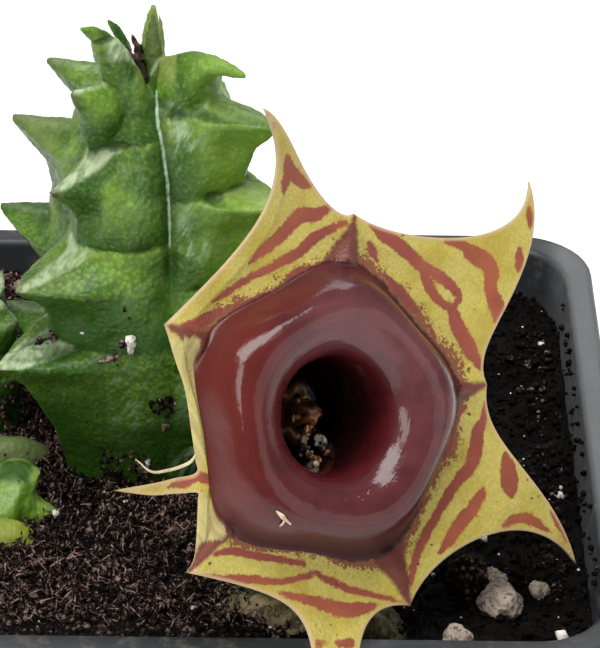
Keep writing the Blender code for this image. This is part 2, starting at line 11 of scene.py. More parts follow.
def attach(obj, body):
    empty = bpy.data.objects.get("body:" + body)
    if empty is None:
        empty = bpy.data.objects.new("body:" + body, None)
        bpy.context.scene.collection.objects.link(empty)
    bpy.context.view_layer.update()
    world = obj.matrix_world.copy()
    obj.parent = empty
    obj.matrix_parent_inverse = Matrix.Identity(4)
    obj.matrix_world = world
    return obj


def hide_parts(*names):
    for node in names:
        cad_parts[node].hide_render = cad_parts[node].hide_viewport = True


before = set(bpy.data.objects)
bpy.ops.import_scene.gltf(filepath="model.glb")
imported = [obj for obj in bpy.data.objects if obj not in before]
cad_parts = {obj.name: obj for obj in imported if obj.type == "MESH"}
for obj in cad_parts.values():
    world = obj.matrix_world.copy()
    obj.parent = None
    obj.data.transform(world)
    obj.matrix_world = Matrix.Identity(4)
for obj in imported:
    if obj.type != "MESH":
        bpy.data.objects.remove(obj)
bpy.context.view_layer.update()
mm = 0.001
weldWithin = 0.002 * mm  # the seams and poles of a sheet are closed within this
random.seed(7)
print("frame loaded,", len(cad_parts), "pieces")


def deselectAll():
    if bpy.context.object and bpy.context.object.mode != "OBJECT":
        bpy.ops.object.mode_set(mode="OBJECT")
    bpy.ops.object.select_all(action="DESELECT")


def pick(piece):
    deselectAll()
    piece.select_set(True)
    bpy.context.view_layer.objects.active = piece


def clamp(value, low=0.0, high=1.0):
    return min(max(value, low), high)


def ease(value):
    value = clamp(value)
    return value * value * (3.0 - 2.0 * value)


def between(pairs, at):  # straight lines through (place, value) pairs
    if at <= pairs[0][0]:
        return pairs[0][1]
    for (low, first), (high, last) in zip(pairs, pairs[1:]):
        if at <= high:
            return first + (last - first) * (at - low) / (high - low)
    return pairs[-1][1]


def softLine(points, steps):  # a smooth line through the points, with this many steps to each stretch
    points = [Vector(point) for point in points]
    padded = [points[0] * 2 - points[1], *points, points[-1] * 2 - points[-2]]
    line = []
    for a, b, c, d in zip(padded, padded[1:], padded[2:], padded[3:]):
        for step in range(steps):
            t = step / steps
            line.append(0.5 * (2 * b + (c - a) * t + (2 * a - 5 * b + 4 * c - d) * t * t
                               + (3 * b - 3 * c + d - a) * t ** 3))
    return line + [points[-1]]


def bezier(points, t):
    a, b, c, d = (Vector(point) for point in points)
    s = 1.0 - t
    return a * s ** 3 + b * 3 * s * s * t + c * 3 * s * t * t + d * t ** 3


def polar(out, turn, height=0.0):
    return Vector((out * math.cos(turn), out * math.sin(turn), height))


def roundShape(name, subdivisions, change):  # a ball of radius 1, each point moved by change
    deselectAll()
    bpy.ops.mesh.primitive_ico_sphere_add(subdivisions=subdivisions, radius=1.0)
    piece = bpy.context.object
    piece.name = name
    for vert in piece.data.vertices:
        vert.co = change(vert.co.copy())
    return piece


def wrapSheet(name, columns, rows, place, notes=None):
    # A flat grid laid on a surface: place(column share, row number) gives each point in millimetres. What place
    # has written into the lists of notes, one value a point, is kept as attributes.
    deselectAll()
    bpy.ops.mesh.primitive_grid_add(x_subdivisions=columns, y_subdivisions=rows, size=1.0)
    piece = bpy.context.object
    piece.name = name
    for vert in piece.data.vertices:
        vert.co = place(vert.co.x + 0.5, round((vert.co.y + 0.5) * rows)) * mm
    for note, values in (notes or {}).items():
        giveValues(piece, note, values)
    bpy.ops.object.mode_set(mode="EDIT")
    bpy.ops.mesh.select_all(action="SELECT")
    bpy.ops.mesh.remove_doubles(threshold=weldWithin)
    bpy.ops.mesh.normals_make_consistent(inside=False)
    bpy.ops.object.mode_set(mode="OBJECT")
    return piece


def joinPieces(pieces, name):
    deselectAll()
    for piece in pieces:
        piece.select_set(True)
    bpy.context.view_layer.objects.active = pieces[0]
    bpy.ops.object.join()
    pieces[0].name = name
    return pieces[0]


def applyAll(piece):
    pick(piece)
    for modifier in list(piece.modifiers):
        bpy.ops.object.modifier_apply(modifier=modifier.name)


def pointsOf(piece):
    points = np.zeros(len(piece.data.vertices) * 3)
    piece.data.vertices.foreach_get("co", points)
    return points.reshape(-1, 3) / mm


def giveValues(piece, name, values):
    attribute = piece.data.attributes.new(name, "FLOAT", "POINT")
    attribute.data.foreach_set("value", np.asarray(values, np.float32))


def finishPiece(piece, material, standsFor=(), flat=False):
    pick(piece)
    if flat:
        bpy.ops.object.shade_flat()
    else:
        bpy.ops.object.shade_smooth()
    piece.data.materials.clear()
    piece.data.materials.append(material)
    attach(piece, "root")
    if standsFor:
        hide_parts(*standsFor)
    return piece


class Paint:  # a procedural material and the nodes that colour it
    def __init__(self, name, roughness, **constants):  # constants sit directly on the shader's sockets
        self.material = bpy.data.materials.new(name)
        self.material.use_nodes = True
        self.tree = self.material.node_tree
        self.shader = self.tree.nodes["Principled BSDF"]
        self.shader.inputs["Roughness"].default_value = roughness
        for socket, value in constants.items():
            self.shader.inputs[socket.replace("_", " ")].default_value = value

    def feed(self, socket, value):  # a value or another node's output
        if isinstance(value, bpy.types.NodeSocket):
            self.tree.links.new(value, socket)
        else:
            socket.default_value = value

    def node(self, kind, settings=None, **inputs):  # inputs by name, or by number as i0, i1 and so on
        node = self.tree.nodes.new("ShaderNode" + kind)
        for key, value in (settings or {}).items():
            setattr(node, key, value)
        for key, value in inputs.items():
            byNumber = key[0] == "i" and key[1:].isdigit()
            self.feed(node.inputs[int(key[1:])] if byNumber else node.inputs[key.replace("_", " ")], value)
        return node

    def shade(self, socket, value):
        self.tree.links.new(value, self.shader.inputs[socket])

    def place(self):
        return self.node("TexCoord").outputs["Object"]

    def axis(self, name):  # X, Y or Z of the piece, in metres
        return self.node("SeparateXYZ", Vector=self.place()).outputs[name]

    def noise(self, scale, detail=3.0, roughness=0.55):
        node = self.node("TexNoise", Vector=self.place(), Scale=scale, Detail=detail, Roughness=roughness)
        return node.outputs["Fac"]

    def bands(self, value, scale, detail):  # noise along one value only
        node = self.node("TexNoise", {"noise_dimensions": "1D"}, W=value, Scale=scale, Detail=detail)
        return node.outputs["Fac"]

    def cells(self, scale):  # distance from the middle of each small cell
        return self.node("TexVoronoi", Vector=self.place(), Scale=scale).outputs["Distance"]

    def value(self, name):
        return self.node("Attribute", {"attribute_name": name}).outputs["Fac"]

    def step(self, value, low, high, first=0.0, last=1.0):  # a smooth step between two values
        settings = {"interpolation_type": "SMOOTHSTEP"}
        return self.node("MapRange", settings, i0=value, i1=low, i2=high, i3=first, i4=last).outputs[0]

    def maths(self, how, first, second=0.0):
        return self.node("Math", {"operation": how}, i0=first, i1=second).outputs[0]

    def times(self, first, second):
        return self.maths("MULTIPLY", first, second)

    def plus(self, first, second):
        return self.maths("ADD", first, second)

    def minus(self, first, second):
        return self.maths("SUBTRACT", first, second)

    def blend(self, share, first, second):
        node = self.node("Mix", {"data_type": "RGBA"})
        for number, value in ((0, share), (6, first), (7, second)):
            self.feed(node.inputs[number], (*value, 1.0) if isinstance(value, tuple) else value)
        return node.outputs[2]

    def veil(self, skin, colour, value, low, high, first=0.0, last=1.0):  # a colour laid over by a smooth step
        return self.blend(self.step(value, low, high, first, last), skin, colour)

    def ramp(self, value, stops):
        node = self.node("ValToRGB", Fac=value)
        elements = node.color_ramp.elements
        while len(elements) < len(stops):
            elements.new(0.5)
        for element, (place, colour) in zip(elements, stops):
            element.position = place
            element.color = (*colour, 1.0)
        return node.outputs["Color"]

    def roughen(self, *layers):  # each layer is (height, strength, distance in millimetres)
        normal = None
        for height, strength, distance in layers:
            bump = self.node("Bump", Height=height, Strength=strength, Distance=distance * mm)
            if normal:
                self.tree.links.new(normal, bump.inputs["Normal"])
            normal = bump.outputs["Normal"]
        self.shade("Normal", normal)


def mottled(name, roughness, colours, scale, detail=3.0, grain=0.6, edges=(0.4, 0.6), bump=(), **constants):
    paint = Paint(name, roughness, **constants)  # two colours in patches
    patches = paint.noise(scale, detail, grain)
    paint.shade("Base Color", paint.veil(*colours, patches, *edges))
    if bump:
        paint.roughen((patches, *bump))
    return paint.material


# A rib is its azimuth, how far its creases rise towards the furrows, how far the upper face of a tooth runs up,
# how hollow a tooth is below, the height of its uppermost crease, and its teeth from the crown down. A tooth is
# (height of its tip, its reach from the axis, height of the crease below it, the rib's reach there, its spread
# in degrees). Heights are from the rim.
mainStem = {
    "foot": (-9.3, 1.0), "top": (-7.2, -0.4),
    "profile": (
        (-10.5, 3.0), (-9.6, 5.4), (-6.0, 7.4), (-1.0, 8.6), (5.0, 9.8), (12.5, 10.4), (18.0, 9.8),
        (24.0, 8.9), (30.0, 7.6), (34.0, 6.3), (35.6, 5.2), (36.8, 3.6), (37.0, 2.0), (36.2, 0.9),
    ),
    "frontFurrow": (
        (8.0, 0.62), (22.3, 0.59), (26.8, 0.576), (29.8, 0.555), (32.7, 0.51), (34.2, 0.47), (36.2, 0.40),
        (38.4, 0.34),
    ),
    "furrow": 0.72, "frontFade": 21.0, "lineFrom": 23.5, "lift": 0.7, "puff": 0.9, "groove": 0.34,
    "hollow": 1.1,
    # (height, how far round from a rib a crease can be seen there)
    "creaseReach": ((4.0, 0.2), (13.0, 0.55), (22.9, 1.15), (29.2, 1.05), (32.6, 0.95), (36.6, 1.15)),
    "columns": 176, "rows": 190, "voxel": 0.235,
    "ribs": (
        (219.0, 1.0, 2.6, 2.5, 43.0, (
            (38.2, 10.4, 32.6, 8.4, 24.0), (28.8, 12.4, 22.9, 9.1, 28.0), (19.6, 16.0, 13.0, 11.4, 46.0),
            (12.0, 18.0, -7.0, 9.2, 44.0),
        )),
        (324.0, -1.4, 0.8, 1.8, 36.6, (
            (36.0, 13.8, 29.2, 9.2, 42.0), (28.0, 15.0, 20.6, 10.2, 42.0), (18.6, 16.4, 12.4, 11.2, 42.0),
            (9.0, 15.8, 3.0, 10.8, 42.0),
        )),
        (58.0, 0.9, 1.4, 1.8, 36.4, (
            (32.6, 9.2, 29.6, 8.4, 40.0), (27.0, 14.8, 20.4, 10.2, 40.0), (18.0, 16.0, 11.4, 11.2, 40.0),
            (8.0, 15.6, 2.0, 10.6, 40.0),
        )),
        (152.0, -0.8, 1.3, 1.7, 38.2, (
            (35.2, 13.0, 32.2, 9.7, 36.0), (28.2, 16.6, 23.0, 11.7, 38.0), (18.2, 17.7, 12.8, 11.6, 40.0),
            (7.0, 17.2, 1.6, 10.8, 42.0),
        )),
    ),
    # horns and small leaves of the crown: azimuth, origin, and sections of (upper point, lower point, half the
    # thickness)
    "horns": (
        (324.0, (-7.2, -0.4), (
            ((-1.7, 35.8), (-1.7, 35.0), 0.3), ((-1.1, 38.3), (-0.9, 33.8), 1.6),
            ((0.4, 39.3), (1.0, 33.4), 2.6), ((1.7, 40.0), (2.8, 33.5), 3.0), ((3.2, 40.6), (4.4, 34.4), 2.7),
            ((4.6, 40.9), (5.2, 36.2), 1.9), ((5.6, 41.0), (5.3, 38.2), 1.2), ((6.4, 40.9), (5.9, 39.1), 0.85),
            ((7.2, 40.8), (6.9, 39.5), 0.6), ((8.3, 40.6), (8.0, 39.7), 0.42),
            ((9.2, 40.1), (9.2, 40.0), 0.15),
        )),
        (217.0, (-7.2, -0.4), (
            ((2.0, 34.0), (2.5, 33.6), 0.3), ((1.9, 36.3), (5.6, 34.5), 2.5), ((2.5, 37.6), (6.3, 37.0), 2.5),
            ((2.8, 38.5), (6.5, 38.4), 2.3), ((3.2, 39.5), (6.8, 39.3), 2.0), ((3.6, 40.4), (7.0, 40.2), 1.8),
            ((4.3, 41.6), (7.2, 41.1), 1.5), ((5.1, 42.7), (7.4, 42.1), 1.1), ((6.0, 43.5), (7.7, 43.0), 0.8),
            ((6.9, 44.1), (8.0, 43.5), 0.55), ((7.9, 44.5), (8.3, 43.9), 0.36),
            ((8.8, 44.6), (8.8, 44.5), 0.15),
        )),
        (219.0, (-7.2, -0.4), (
            ((3.5, 36.4), (5.2, 33.4), 0.3), ((4.4, 37.8), (8.0, 32.6), 1.6), ((5.8, 38.4), (8.8, 33.6), 1.8),
            ((7.4, 38.6), (9.1, 35.4), 1.45), ((8.6, 38.8), (9.35, 36.9), 0.95),
            ((9.6, 38.95), (9.8, 37.9), 0.5), ((10.16, 38.75), (10.15, 38.65), 0.15),
        )),
        (0.0, (-8.0, -0.2), (
            ((-0.6, 34.5), (0.2, 34.5), 0.3), ((-1.3, 36.0), (0.5, 36.0), 0.7),
            ((-1.45, 38.0), (0.62, 38.0), 0.75), ((-1.3, 40.2), (0.62, 40.2), 0.65),
            ((-1.06, 42.0), (0.5, 41.9), 0.5), ((-0.75, 43.1), (0.35, 43.0), 0.4),
            ((-0.45, 43.8), (0.15, 43.8), 0.3), ((-0.1, 44.4), (-0.05, 44.35), 0.12),
        )),
        (0.0, (-7.4, 2.4), (
            ((-0.3, 35.0), (-0.1, 35.0), 0.2), ((-0.54, 36.5), (0.12, 36.5), 0.5),
            ((-0.54, 38.5), (0.1, 38.5), 0.5), ((-0.5, 40.3), (0.02, 40.2), 0.4),
            ((-0.42, 41.5), (-0.12, 41.4), 0.28), ((-0.3, 42.4), (-0.26, 42.3), 0.12),
        )),
        (180.0, (-9.9, 2.0), (
            ((0.0, 35.4), (0.4, 35.0), 0.2), ((0.0, 37.2), (0.9, 36.2), 0.9), ((0.3, 38.5), (1.3, 37.9), 0.75),
            ((0.8, 39.9), (1.6, 39.3), 0.6), ((1.2, 40.6), (1.9, 40.0), 0.45), ((1.9, 41.3), (2.3, 40.7), 0.3),
            ((2.6, 41.8), (2.6, 41.7), 0.12),
        )),
    ),
}
sideStem = {
    "foot": (-25.8, 3.2), "top": (-25.8, 3.4),
    "profile": (
        (-9.0, 1.4), (-8.4, 2.6), (-4.5, 3.6), (0.0, 4.2), (5.0, 4.4), (9.0, 3.9), (11.0, 3.0),
        (11.8, 1.8), (11.6, 0.8),
    ),
    "frontFurrow": ((0.0, 0.5),), "furrow": 0.7, "frontFade": -20.0, "lineFrom": 40.0, "lift": 0.9,
    "puff": 0.4, "groove": 0.2, "hollow": 0.2, "creaseReach": ((0.0, 0.9),), "columns": 96, "rows": 80,
    "voxel": 0.22,
    "ribs": (
        (-28.0, 0.5, 0.9, 1.8, 13.0, ((9.4, 5.0, 6.6, 4.2, 40.0), (3.6, 5.0, -0.4, 4.3, 40.0))),
        (62.0, -0.5, 0.9, 1.8, 13.0, ((11.0, 5.2, 7.6, 3.6, 40.0), (1.6, 5.0, -2.6, 4.3, 40.0))),
        (152.0, 0.4, 0.9, 1.8, 13.0, ((10.2, 4.8, 7.0, 4.0, 40.0), (4.2, 5.2, 0.4, 4.2, 40.0))),
        (242.0, -0.4, 0.9, 1.8, 13.0, ((9.6, 5.0, 6.6, 4.2, 40.0), (3.0, 4.8, -0.6, 3.9, 40.0))),
    ),
    "horns": (),
}
offsetStem = {
    "foot": (-22.4, -12.2), "top": (-21.2, -10.6),
    "profile": (
        (-9.6, 1.6), (-8.8, 3.4), (-6.2, 4.2), (-3.6, 4.0), (-2.0, 3.8), (-0.2, 3.3), (1.2, 2.4), (1.8, 1.3),
        (1.7, 0.6),
    ),
    "frontFurrow": ((0.0, 0.5),), "furrow": 0.9, "frontFade": -20.0, "lineFrom": 40.0, "lift": 0.3,
    "puff": 0.25, "groove": 0.2, "hollow": 0.1, "creaseReach": ((0.0, 0.9),), "columns": 96, "rows": 70,
    "voxel": 0.2,
    "ribs": (
        (-6.0, 0.3, 0.8, 1.8, 3.0, ((-1.6, 5.6, -4.4, 4.2, 42.0),)),
        (84.0, -0.3, 0.8, 1.8, 3.0, ((-0.2, 3.9, -2.6, 3.6, 42.0),)),
        (176.0, 0.3, 0.8, 1.8, 3.0, ((-2.2, 5.2, -4.8, 4.2, 42.0),)),
        (268.0, -0.3, 0.8, 1.8, 3.0, ((-2.8, 5.6, -5.4, 4.2, 42.0),)),
    ),
    "horns": (),
}
rimHeight = 65.0
plainSpread = 40.0  # degrees that a rib spreads where it has no tooth


def ribReach(spec, rib, z):  # a rib's reach at a height, how much of that is tooth, and how far it spreads
    _, _, slope, hook, _, teeth = rib
    above = between(spec["profile"], z)
    for tip, reach, notch, neck, spread in teeth:
        if z > tip:
            share = (1.0 - clamp((z - tip) / slope)) ** 1.4
            return above + (reach - above) * share, share, spread
        if z > notch:
            share = (z - notch) / (tip - notch)
            return neck + (reach - neck) * share ** hook, share ** 3, spread
        above = neck
    plain = between(spec["profile"], z)
    return plain + max(above - plain, 0.0) * max(1.0 - (teeth[-1][2] - z) / 5.0, 0.0), 0.0, plainSpread


def moundShare(rib, level):  # 0 at the crease below a mound to 1 at the one above, and how far the nearer is
    above = rib[4]
    for _, _, notch, _, _ in rib[5]:
        if level > notch:
            return clamp((level - notch) / (above - notch)), min(level - notch, abs(above - level))
        above = notch
    return clamp((level - above + 9.0) / 9.0), above - level


def ribPlace(spec, angle, z):  # the rib nearest to an angle, degrees from it, and 0 on it to 1 in the furrow
    azimuths = [rib[0] for rib in spec["ribs"]]
    for quarter, start in enumerate(azimuths):
        span = (azimuths[(quarter + 1) % 4] - start) % 360.0
        past = (angle - start) % 360.0
        if past <= span:
            split = between(spec["frontFurrow"], z) if quarter == 0 else 0.5
            place = past / span
            if place <= split:
                return spec["ribs"][quarter], past, place / split
            return spec["ribs"][(quarter + 1) % 4], span - past, (1.0 - place) / (1.0 - split)
    return spec["ribs"][0], 0.0, 0.0


def frontFade(spec, angle, z):  # how far the front furrow has run out below
    inFront = spec["ribs"][0][0] < angle % 360.0 < spec["ribs"][1][0]
    return clamp((spec["frontFade"] - z) / 5.0) if inFront else 0.0


def creaseShare(spec, z, off):  # 1 where a crease is deep, 0 where it has run out
    return ease((between(spec["creaseReach"], z) - off) / 0.35) * (1.0 - off ** 6)


def stemSkin(spec, angle, z, radius, crown):  # distance from the axis and how much higher the point is lifted
    rib, turned, off = ribPlace(spec, angle, z)
    reach, tooth, spread = (radius, 0.0, plainSpread) if crown else ribReach(spec, rib, z)
    fade = clamp((z - spec["profile"][0][0]) / 4.0)
    hollow = (1.0 - spec["furrow"]) * (1.0 - 0.75 * frontFade(spec, angle, z))
    depth = 1.0 - hollow * fade * (1.0 - math.sqrt(max(1.0 - off ** 2.4, 0.0)))
    shareOut = max(1.0 - turned / spread, 0.0) ** 2
    out = radius * depth + (reach - radius) * shareOut
    if not crown:
        share, _ = moundShare(rib, z - rib[1] * off)
        swell = math.sin(math.pi * share ** 0.75) ** 0.7 - 0.55  # fullest below its middle
        patchy = 0.75 + 0.7 * noise.noise(Vector((turned * 0.07, z * 0.11, rib[0])))
        beside = 0.4 + 0.6 * min(off / 0.3, 1.0)  # less on the rib itself
        out += spec["puff"] * patchy * swell * creaseShare(spec, z, off) * beside * fade
        for tip, _, _, _, _ in rib[5]:
            out -= spec["hollow"] * math.exp(-((turned - 9.0) / 8.0) ** 2 - ((z - tip + 2.7) / 1.6) ** 2)
    return out, spec["lift"] * tooth * shareOut


def growHorn(azimuth, origin, sections):
    turn = math.radians(azimuth)
    out = polar(1.0, turn)
    side = Vector((-out.y, out.x, 0.0))
    centre = Vector((*origin, rimHeight))
    upper = softLine([(*point, 0.0) for point, _, _ in sections], 5)
    lower = softLine([(*point, half) for _, point, half in sections], 5)
    last = len(upper) - 1

    def place(share, row):
        top, foot = upper[row], lower[row]
        around = 2.0 * math.pi * share
        middle = (top + foot) / 2.0
        reach, across = 0.0, 0.0
        if row not in (0, last):
            reach = math.cos(around) / 2.0
            across = max(foot.z, 0.05) * math.sin(around) * (1.0 - 0.25 * math.cos(around) ** 2)
        along = middle + (top - foot) * reach
        return centre + out * along.x + Vector((0.0, 0.0, along.y)) + side * across

    return wrapSheet("horn", 32, last, place)


def growStem(spec, name):
    profile = spec["profile"]
    low, high = profile[0][0], profile[-3][0]
    foot, top = Vector((*spec["foot"], 0.0)), Vector((*spec["top"], 0.0))
    rows = spec["rows"]
    extra = 6  # rows that close the crown

    def place(share, row):
        if row <= rows:
            z = low + (high - low) * row / rows
            radius = between(profile, z)
        else:
            part = (row - rows) / extra
            z = high + (profile[-2][0] - high) * math.sin(part * math.pi / 2)
            radius = between(((0.0, profile[-3][1]), (0.5, profile[-2][1]), (1.0, 0.0)), part)
        if row == 0:
            radius = 0.0
        centre = foot.lerp(top, clamp(z / high))
        angle = 360.0 * share
        out, lift = stemSkin(spec, angle, z, radius, row > rows) if radius else (0.0, 0.0)
        return centre + polar(out, math.radians(angle), rimHeight + z + lift)

    body = wrapSheet(name, spec["columns"], rows + extra, place)
    horns = [growHorn(*horn) for horn in spec["horns"]]
    if horns:
        body = joinPieces([body, *horns], name)
    remeshed(body, spec["voxel"], 2)
    paintStem(body, spec)
    return body


def remeshed(piece, voxel, rounds):  # one closed skin round all that was joined
    skin = piece.modifiers.new("skin", "REMESH")
    skin.mode = "VOXEL"
    skin.voxel_size = voxel * mm
    calm = piece.modifiers.new("calm", "SMOOTH")
    calm.factor = 0.5
    calm.iterations = rounds
    applyAll(piece)


def normalsOf(piece):
    normals = np.zeros(len(piece.data.vertices) * 3)
    piece.data.vertices.foreach_get("normal", normals)
    return normals.reshape(-1, 3)


skinNotes = ("furrow", "valley", "tooth", "pale", "crease", "mound", "sheen")
waves = ((0.13, 0.55), (0.07, 1.4), (0.035, 3.3))  # how uneven a skin is: (height, how often in a millimetre)


def paintStem(body, spec):  # presses in the creases and notes for the material where each point lies
    foot, top = np.array(spec["foot"]), np.array(spec["top"])
    high = spec["profile"][-3][0]
    notes = []
    for vert, point, normal in zip(body.data.vertices, pointsOf(body), normalsOf(body)):
        z = point[2] - rimHeight
        centre = foot + (top - foot) * clamp(z / high)
        dx, dy = point[0] - centre[0], point[1] - centre[1]
        out = math.hypot(dx, dy)
        angle = math.degrees(math.atan2(dy, dx)) % 360.0
        rib, turned, off = ribPlace(spec, angle, z)
        nearest = min(abs(z - tip - 0.4) + 0.9 * max(reach - out, 0.0) for tip, reach, _, _, _ in rib[5])
        nearest = math.hypot(nearest, out * math.radians(turned) * 0.9)
        share, crease = moundShare(rib, z - rib[1] * off)
        share = max(share - 0.6 * clamp(-1.6 * normal[2]), 0.0)  # undersides count as low on the mound, so they get its painted shade
        onBody = 1.0 if z < rib[4] + 0.5 else 0.0
        crease = crease if onBody else 9.0
        spot = Vector(point)
        patchy = clamp(0.85 + 0.9 * noise.noise(Vector((turned * 0.09, z * 0.1, rib[0]))), 0.5, 1.1)
        deep = creaseShare(spec, z, off) * patchy
        crease += (1.0 - deep) * 0.6
        pressed = spec["groove"] * deep * math.exp(-(crease / 0.34) ** 2) * min(off / 0.12, 1.0)
        uneven = sum(deepness * noise.noise(spot * often) for deepness, often in waves)
        vert.co = (spot + Vector(normal) * (uneven - pressed)) * mm
        pale, above = 0.0, rib[4]
        for tip, _, notch, _, _ in rib[5]:  # a painted highlight: a wedge on the upward faces from the crease above down to the tip
            past = 1.3 if above - tip < 1.5 else 0.2  # a short tooth's runs over that crease
            if tip - 0.6 < z <= above + past:
                half = 0.4 + 1.9 * clamp((z - tip) / (above - tip))
                pale = clamp((half - out * math.radians(turned)) / 0.5) * clamp(normal[2] * 3.0 + 0.15)
            above = notch
        pale *= 1.0 if rib[2] > 2.0 else 0.3  # the painted highlight is clear on the front left rib only
        # where painted sheen lies, pale glints of light: strongest on the right rib's mounds
        sheen = math.exp(-((off - 0.66) / 0.2) ** 2 - ((share - 0.62) / 0.3) ** 2) * onBody
        valley = (1.0 - off) * out * math.radians(50.0) + 3.0 * frontFade(spec, angle, z)
        line = valley + 4.0 * clamp((spec["lineFrom"] - z) / 2.0) + 4.0 * clamp(z - high - 0.6)
        valley += 0.0 if onBody else 5.0
        mound = share if onBody else 0.5
        notes.append((line, valley, nearest, pale, crease, mound, sheen * (1.0 if rib[1] < -1.0 else 0.2)))
    for name, values in zip(skinNotes, zip(*notes)):
        giveValues(body, name, values)


def plainSkin(piece):  # for stems without mounds
    for name, value in zip(skinNotes, (5.0, 5.0, 9.0, 0.0, 9.0, 0.5, 0.0)):
        giveValues(piece, name, [value] * len(piece.data.vertices))


def addNotes(piece, name, change):  # changes a note of every point by where the point lies, from the rim
    values = [change(Vector(point) - Vector((0.0, 0.0, rimHeight))) for point in pointsOf(piece)]
    piece.data.attributes.remove(piece.data.attributes[name])
    giveValues(piece, name, values)


def greenSkin(name, colours, roughness):  # glossy skin: mottled, with painted shade below and painted highlights and sheen on the upper edges
    paint = Paint(name, roughness, Subsurface_Weight=0.08, Subsurface_Scale=0.0012, IOR=1.42,
                  Specular_IOR_Level=0.38)
    paint.shader.inputs["Subsurface Radius"].default_value = (0.5, 1.0, 0.25)
    broad = paint.noise(130.0, 4.0, 0.62)
    fine = paint.noise(900.0, 4.0, 0.65)
    specks = paint.noise(2600.0, 2.0, 0.5)
    mound, crease = paint.value("mound"), paint.value("crease")
    patches = paint.noise(330.0, 3.0, 0.6)
    skin = paint.veil(colours["dark"], colours["light"], broad, 0.36, 0.64)
    skin = paint.veil(skin, colours["dark"], patches, 0.50, 0.66, 0.0, 0.5)
    skin = paint.veil(skin, colours["bright"], patches, 0.34, 0.46, 0.4, 0.0)
    # painted shade low on each mound, dull and tan close under the crease above it
    skin = paint.veil(skin, colours["dark"], mound, 0.05, 0.64, 0.95, 0.0)
    dull = paint.times(paint.step(mound, 0.62, 0.97), paint.step(broad, 0.40, 0.60))
    parts = paint.node("SeparateXYZ", Vector=paint.place()).outputs
    height = parts["Z"]
    dull = paint.times(dull, paint.step(height, 0.0865, 0.0905))
    skin = paint.blend(paint.times(dull, 0.65), skin, colours["dull"])
    skin = paint.veil(skin, colours["speck"], specks, 0.50, 0.68, 0.0, 0.28)
    skin = paint.veil(skin, colours["bright"], fine, 0.56, 0.80, 0.0, 0.12)
    grains = paint.cells(2100.0)
    skin = paint.veil(skin, colours["bright"], grains, 0.1, 0.42, 0.2, 0.0)
    gaps = paint.times(paint.step(grains, 0.34, 0.62, 0.0, 0.55), paint.step(height, 0.082, 0.092, 1.0, 0.45))
    skin = paint.blend(gaps, skin, colours["dark"])
    skin = paint.veil(skin, colours["dark"], height, 0.066, 0.092, 0.65, 0.0)
    streaks = paint.node("Mapping", {"vector_type": "TEXTURE"}, Vector=paint.place(), i2=(0.0, 0.5, 0.0),
                         i3=(0.45, 1.0, 2.0))
    streaky = paint.node("TexNoise", Vector=streaks.outputs[0], Scale=900.0, Detail=4.0).outputs["Fac"]
    # painted sheen: pale streaky glints on the mounds, a little less rough there
    paintedSheen = paint.times(paint.value("sheen"), paint.step(streaky, 0.42, 0.60))
    paintedSheen = paint.times(paintedSheen, paint.step(broad, 0.36, 0.48))
    skin = paint.blend(paint.times(paintedSheen, 0.95), skin, colours["line"])
    # painted highlight on the upward faces of the teeth
    shelfHighlight = paint.times(paint.value("pale"), paint.step(streaky, 0.35, 0.62, 0.30, 0.85))
    skin = paint.blend(shelfHighlight, skin, colours["pale"])
    under = paint.times(paint.step(height, 0.0775, 0.0805), paint.step(height, 0.0838, 0.0862, 0.42, 0.0))
    skin = paint.blend(under, skin, colours["dark"])  # painted shade below the third tooth
    right = paint.times(paint.step(parts["X"], -0.0062, -0.0020, 0.0, 0.42), paint.step(height, 0.0800, 0.0860))
    skin = paint.blend(right, skin, colours["bright"])  # the right ribs are lighter
    left = paint.times(paint.step(parts["X"], -0.0205, -0.0140, 0.72, 0.0), paint.step(height, 0.083, 0.089))
    skin = paint.blend(left, skin, colours["olive"])  # and the left ones olive
    fromLeaf = paint.maths("ABSOLUTE", paint.plus(parts["X"], 0.0078))  # a dull leaf of the crown
    leaf = paint.times(paint.step(fromLeaf, 0.0014, 0.0020, 0.6, 0.0), paint.step(height, 0.1025, 0.1045))
    skin = paint.blend(leaf, skin, colours["dull"])
    wander = paint.times(fine, 0.25)
    # painted shade along the creases; on the offset the same note gives its own dark green tip spot
    skin = paint.veil(skin, colours["deep"], paint.plus(crease, wander), 0.2, 0.55, 0.7, 0.0)
    # painted shade down the valleys of the furrows
    valley = paint.plus(paint.value("valley"), wander)
    skin = paint.veil(skin, colours["deep"], valley, 0.3, 1.3, 0.6, 0.0)
    # a pale line down the front furrow: its seam, with a painted highlight along it
    line = paint.plus(paint.value("furrow"), wander)
    skin = paint.veil(skin, colours["line"], line, 0.19, 0.29, 0.85, 0.0)
    dried = paint.plus(paint.value("tooth"), paint.times(broad, 0.8))
    skin = paint.veil(skin, colours["tip"], dried, 0.8, 1.9, 0.85, 0.0)
    paint.shade("Base Color", skin)
    rough = paint.step(fine, 0.3, 0.75, roughness - 0.06, roughness + 0.14)
    paint.shade("Roughness", paint.minus(rough, paint.times(paintedSheen, 0.12)))
    domes = paint.minus(1.0, grains)
    paint.roughen((domes, 0.5, 0.12), (specks, 0.35, 0.10), (fine, 0.28, 0.30), (broad, 0.30, 0.9))
    return paint.material


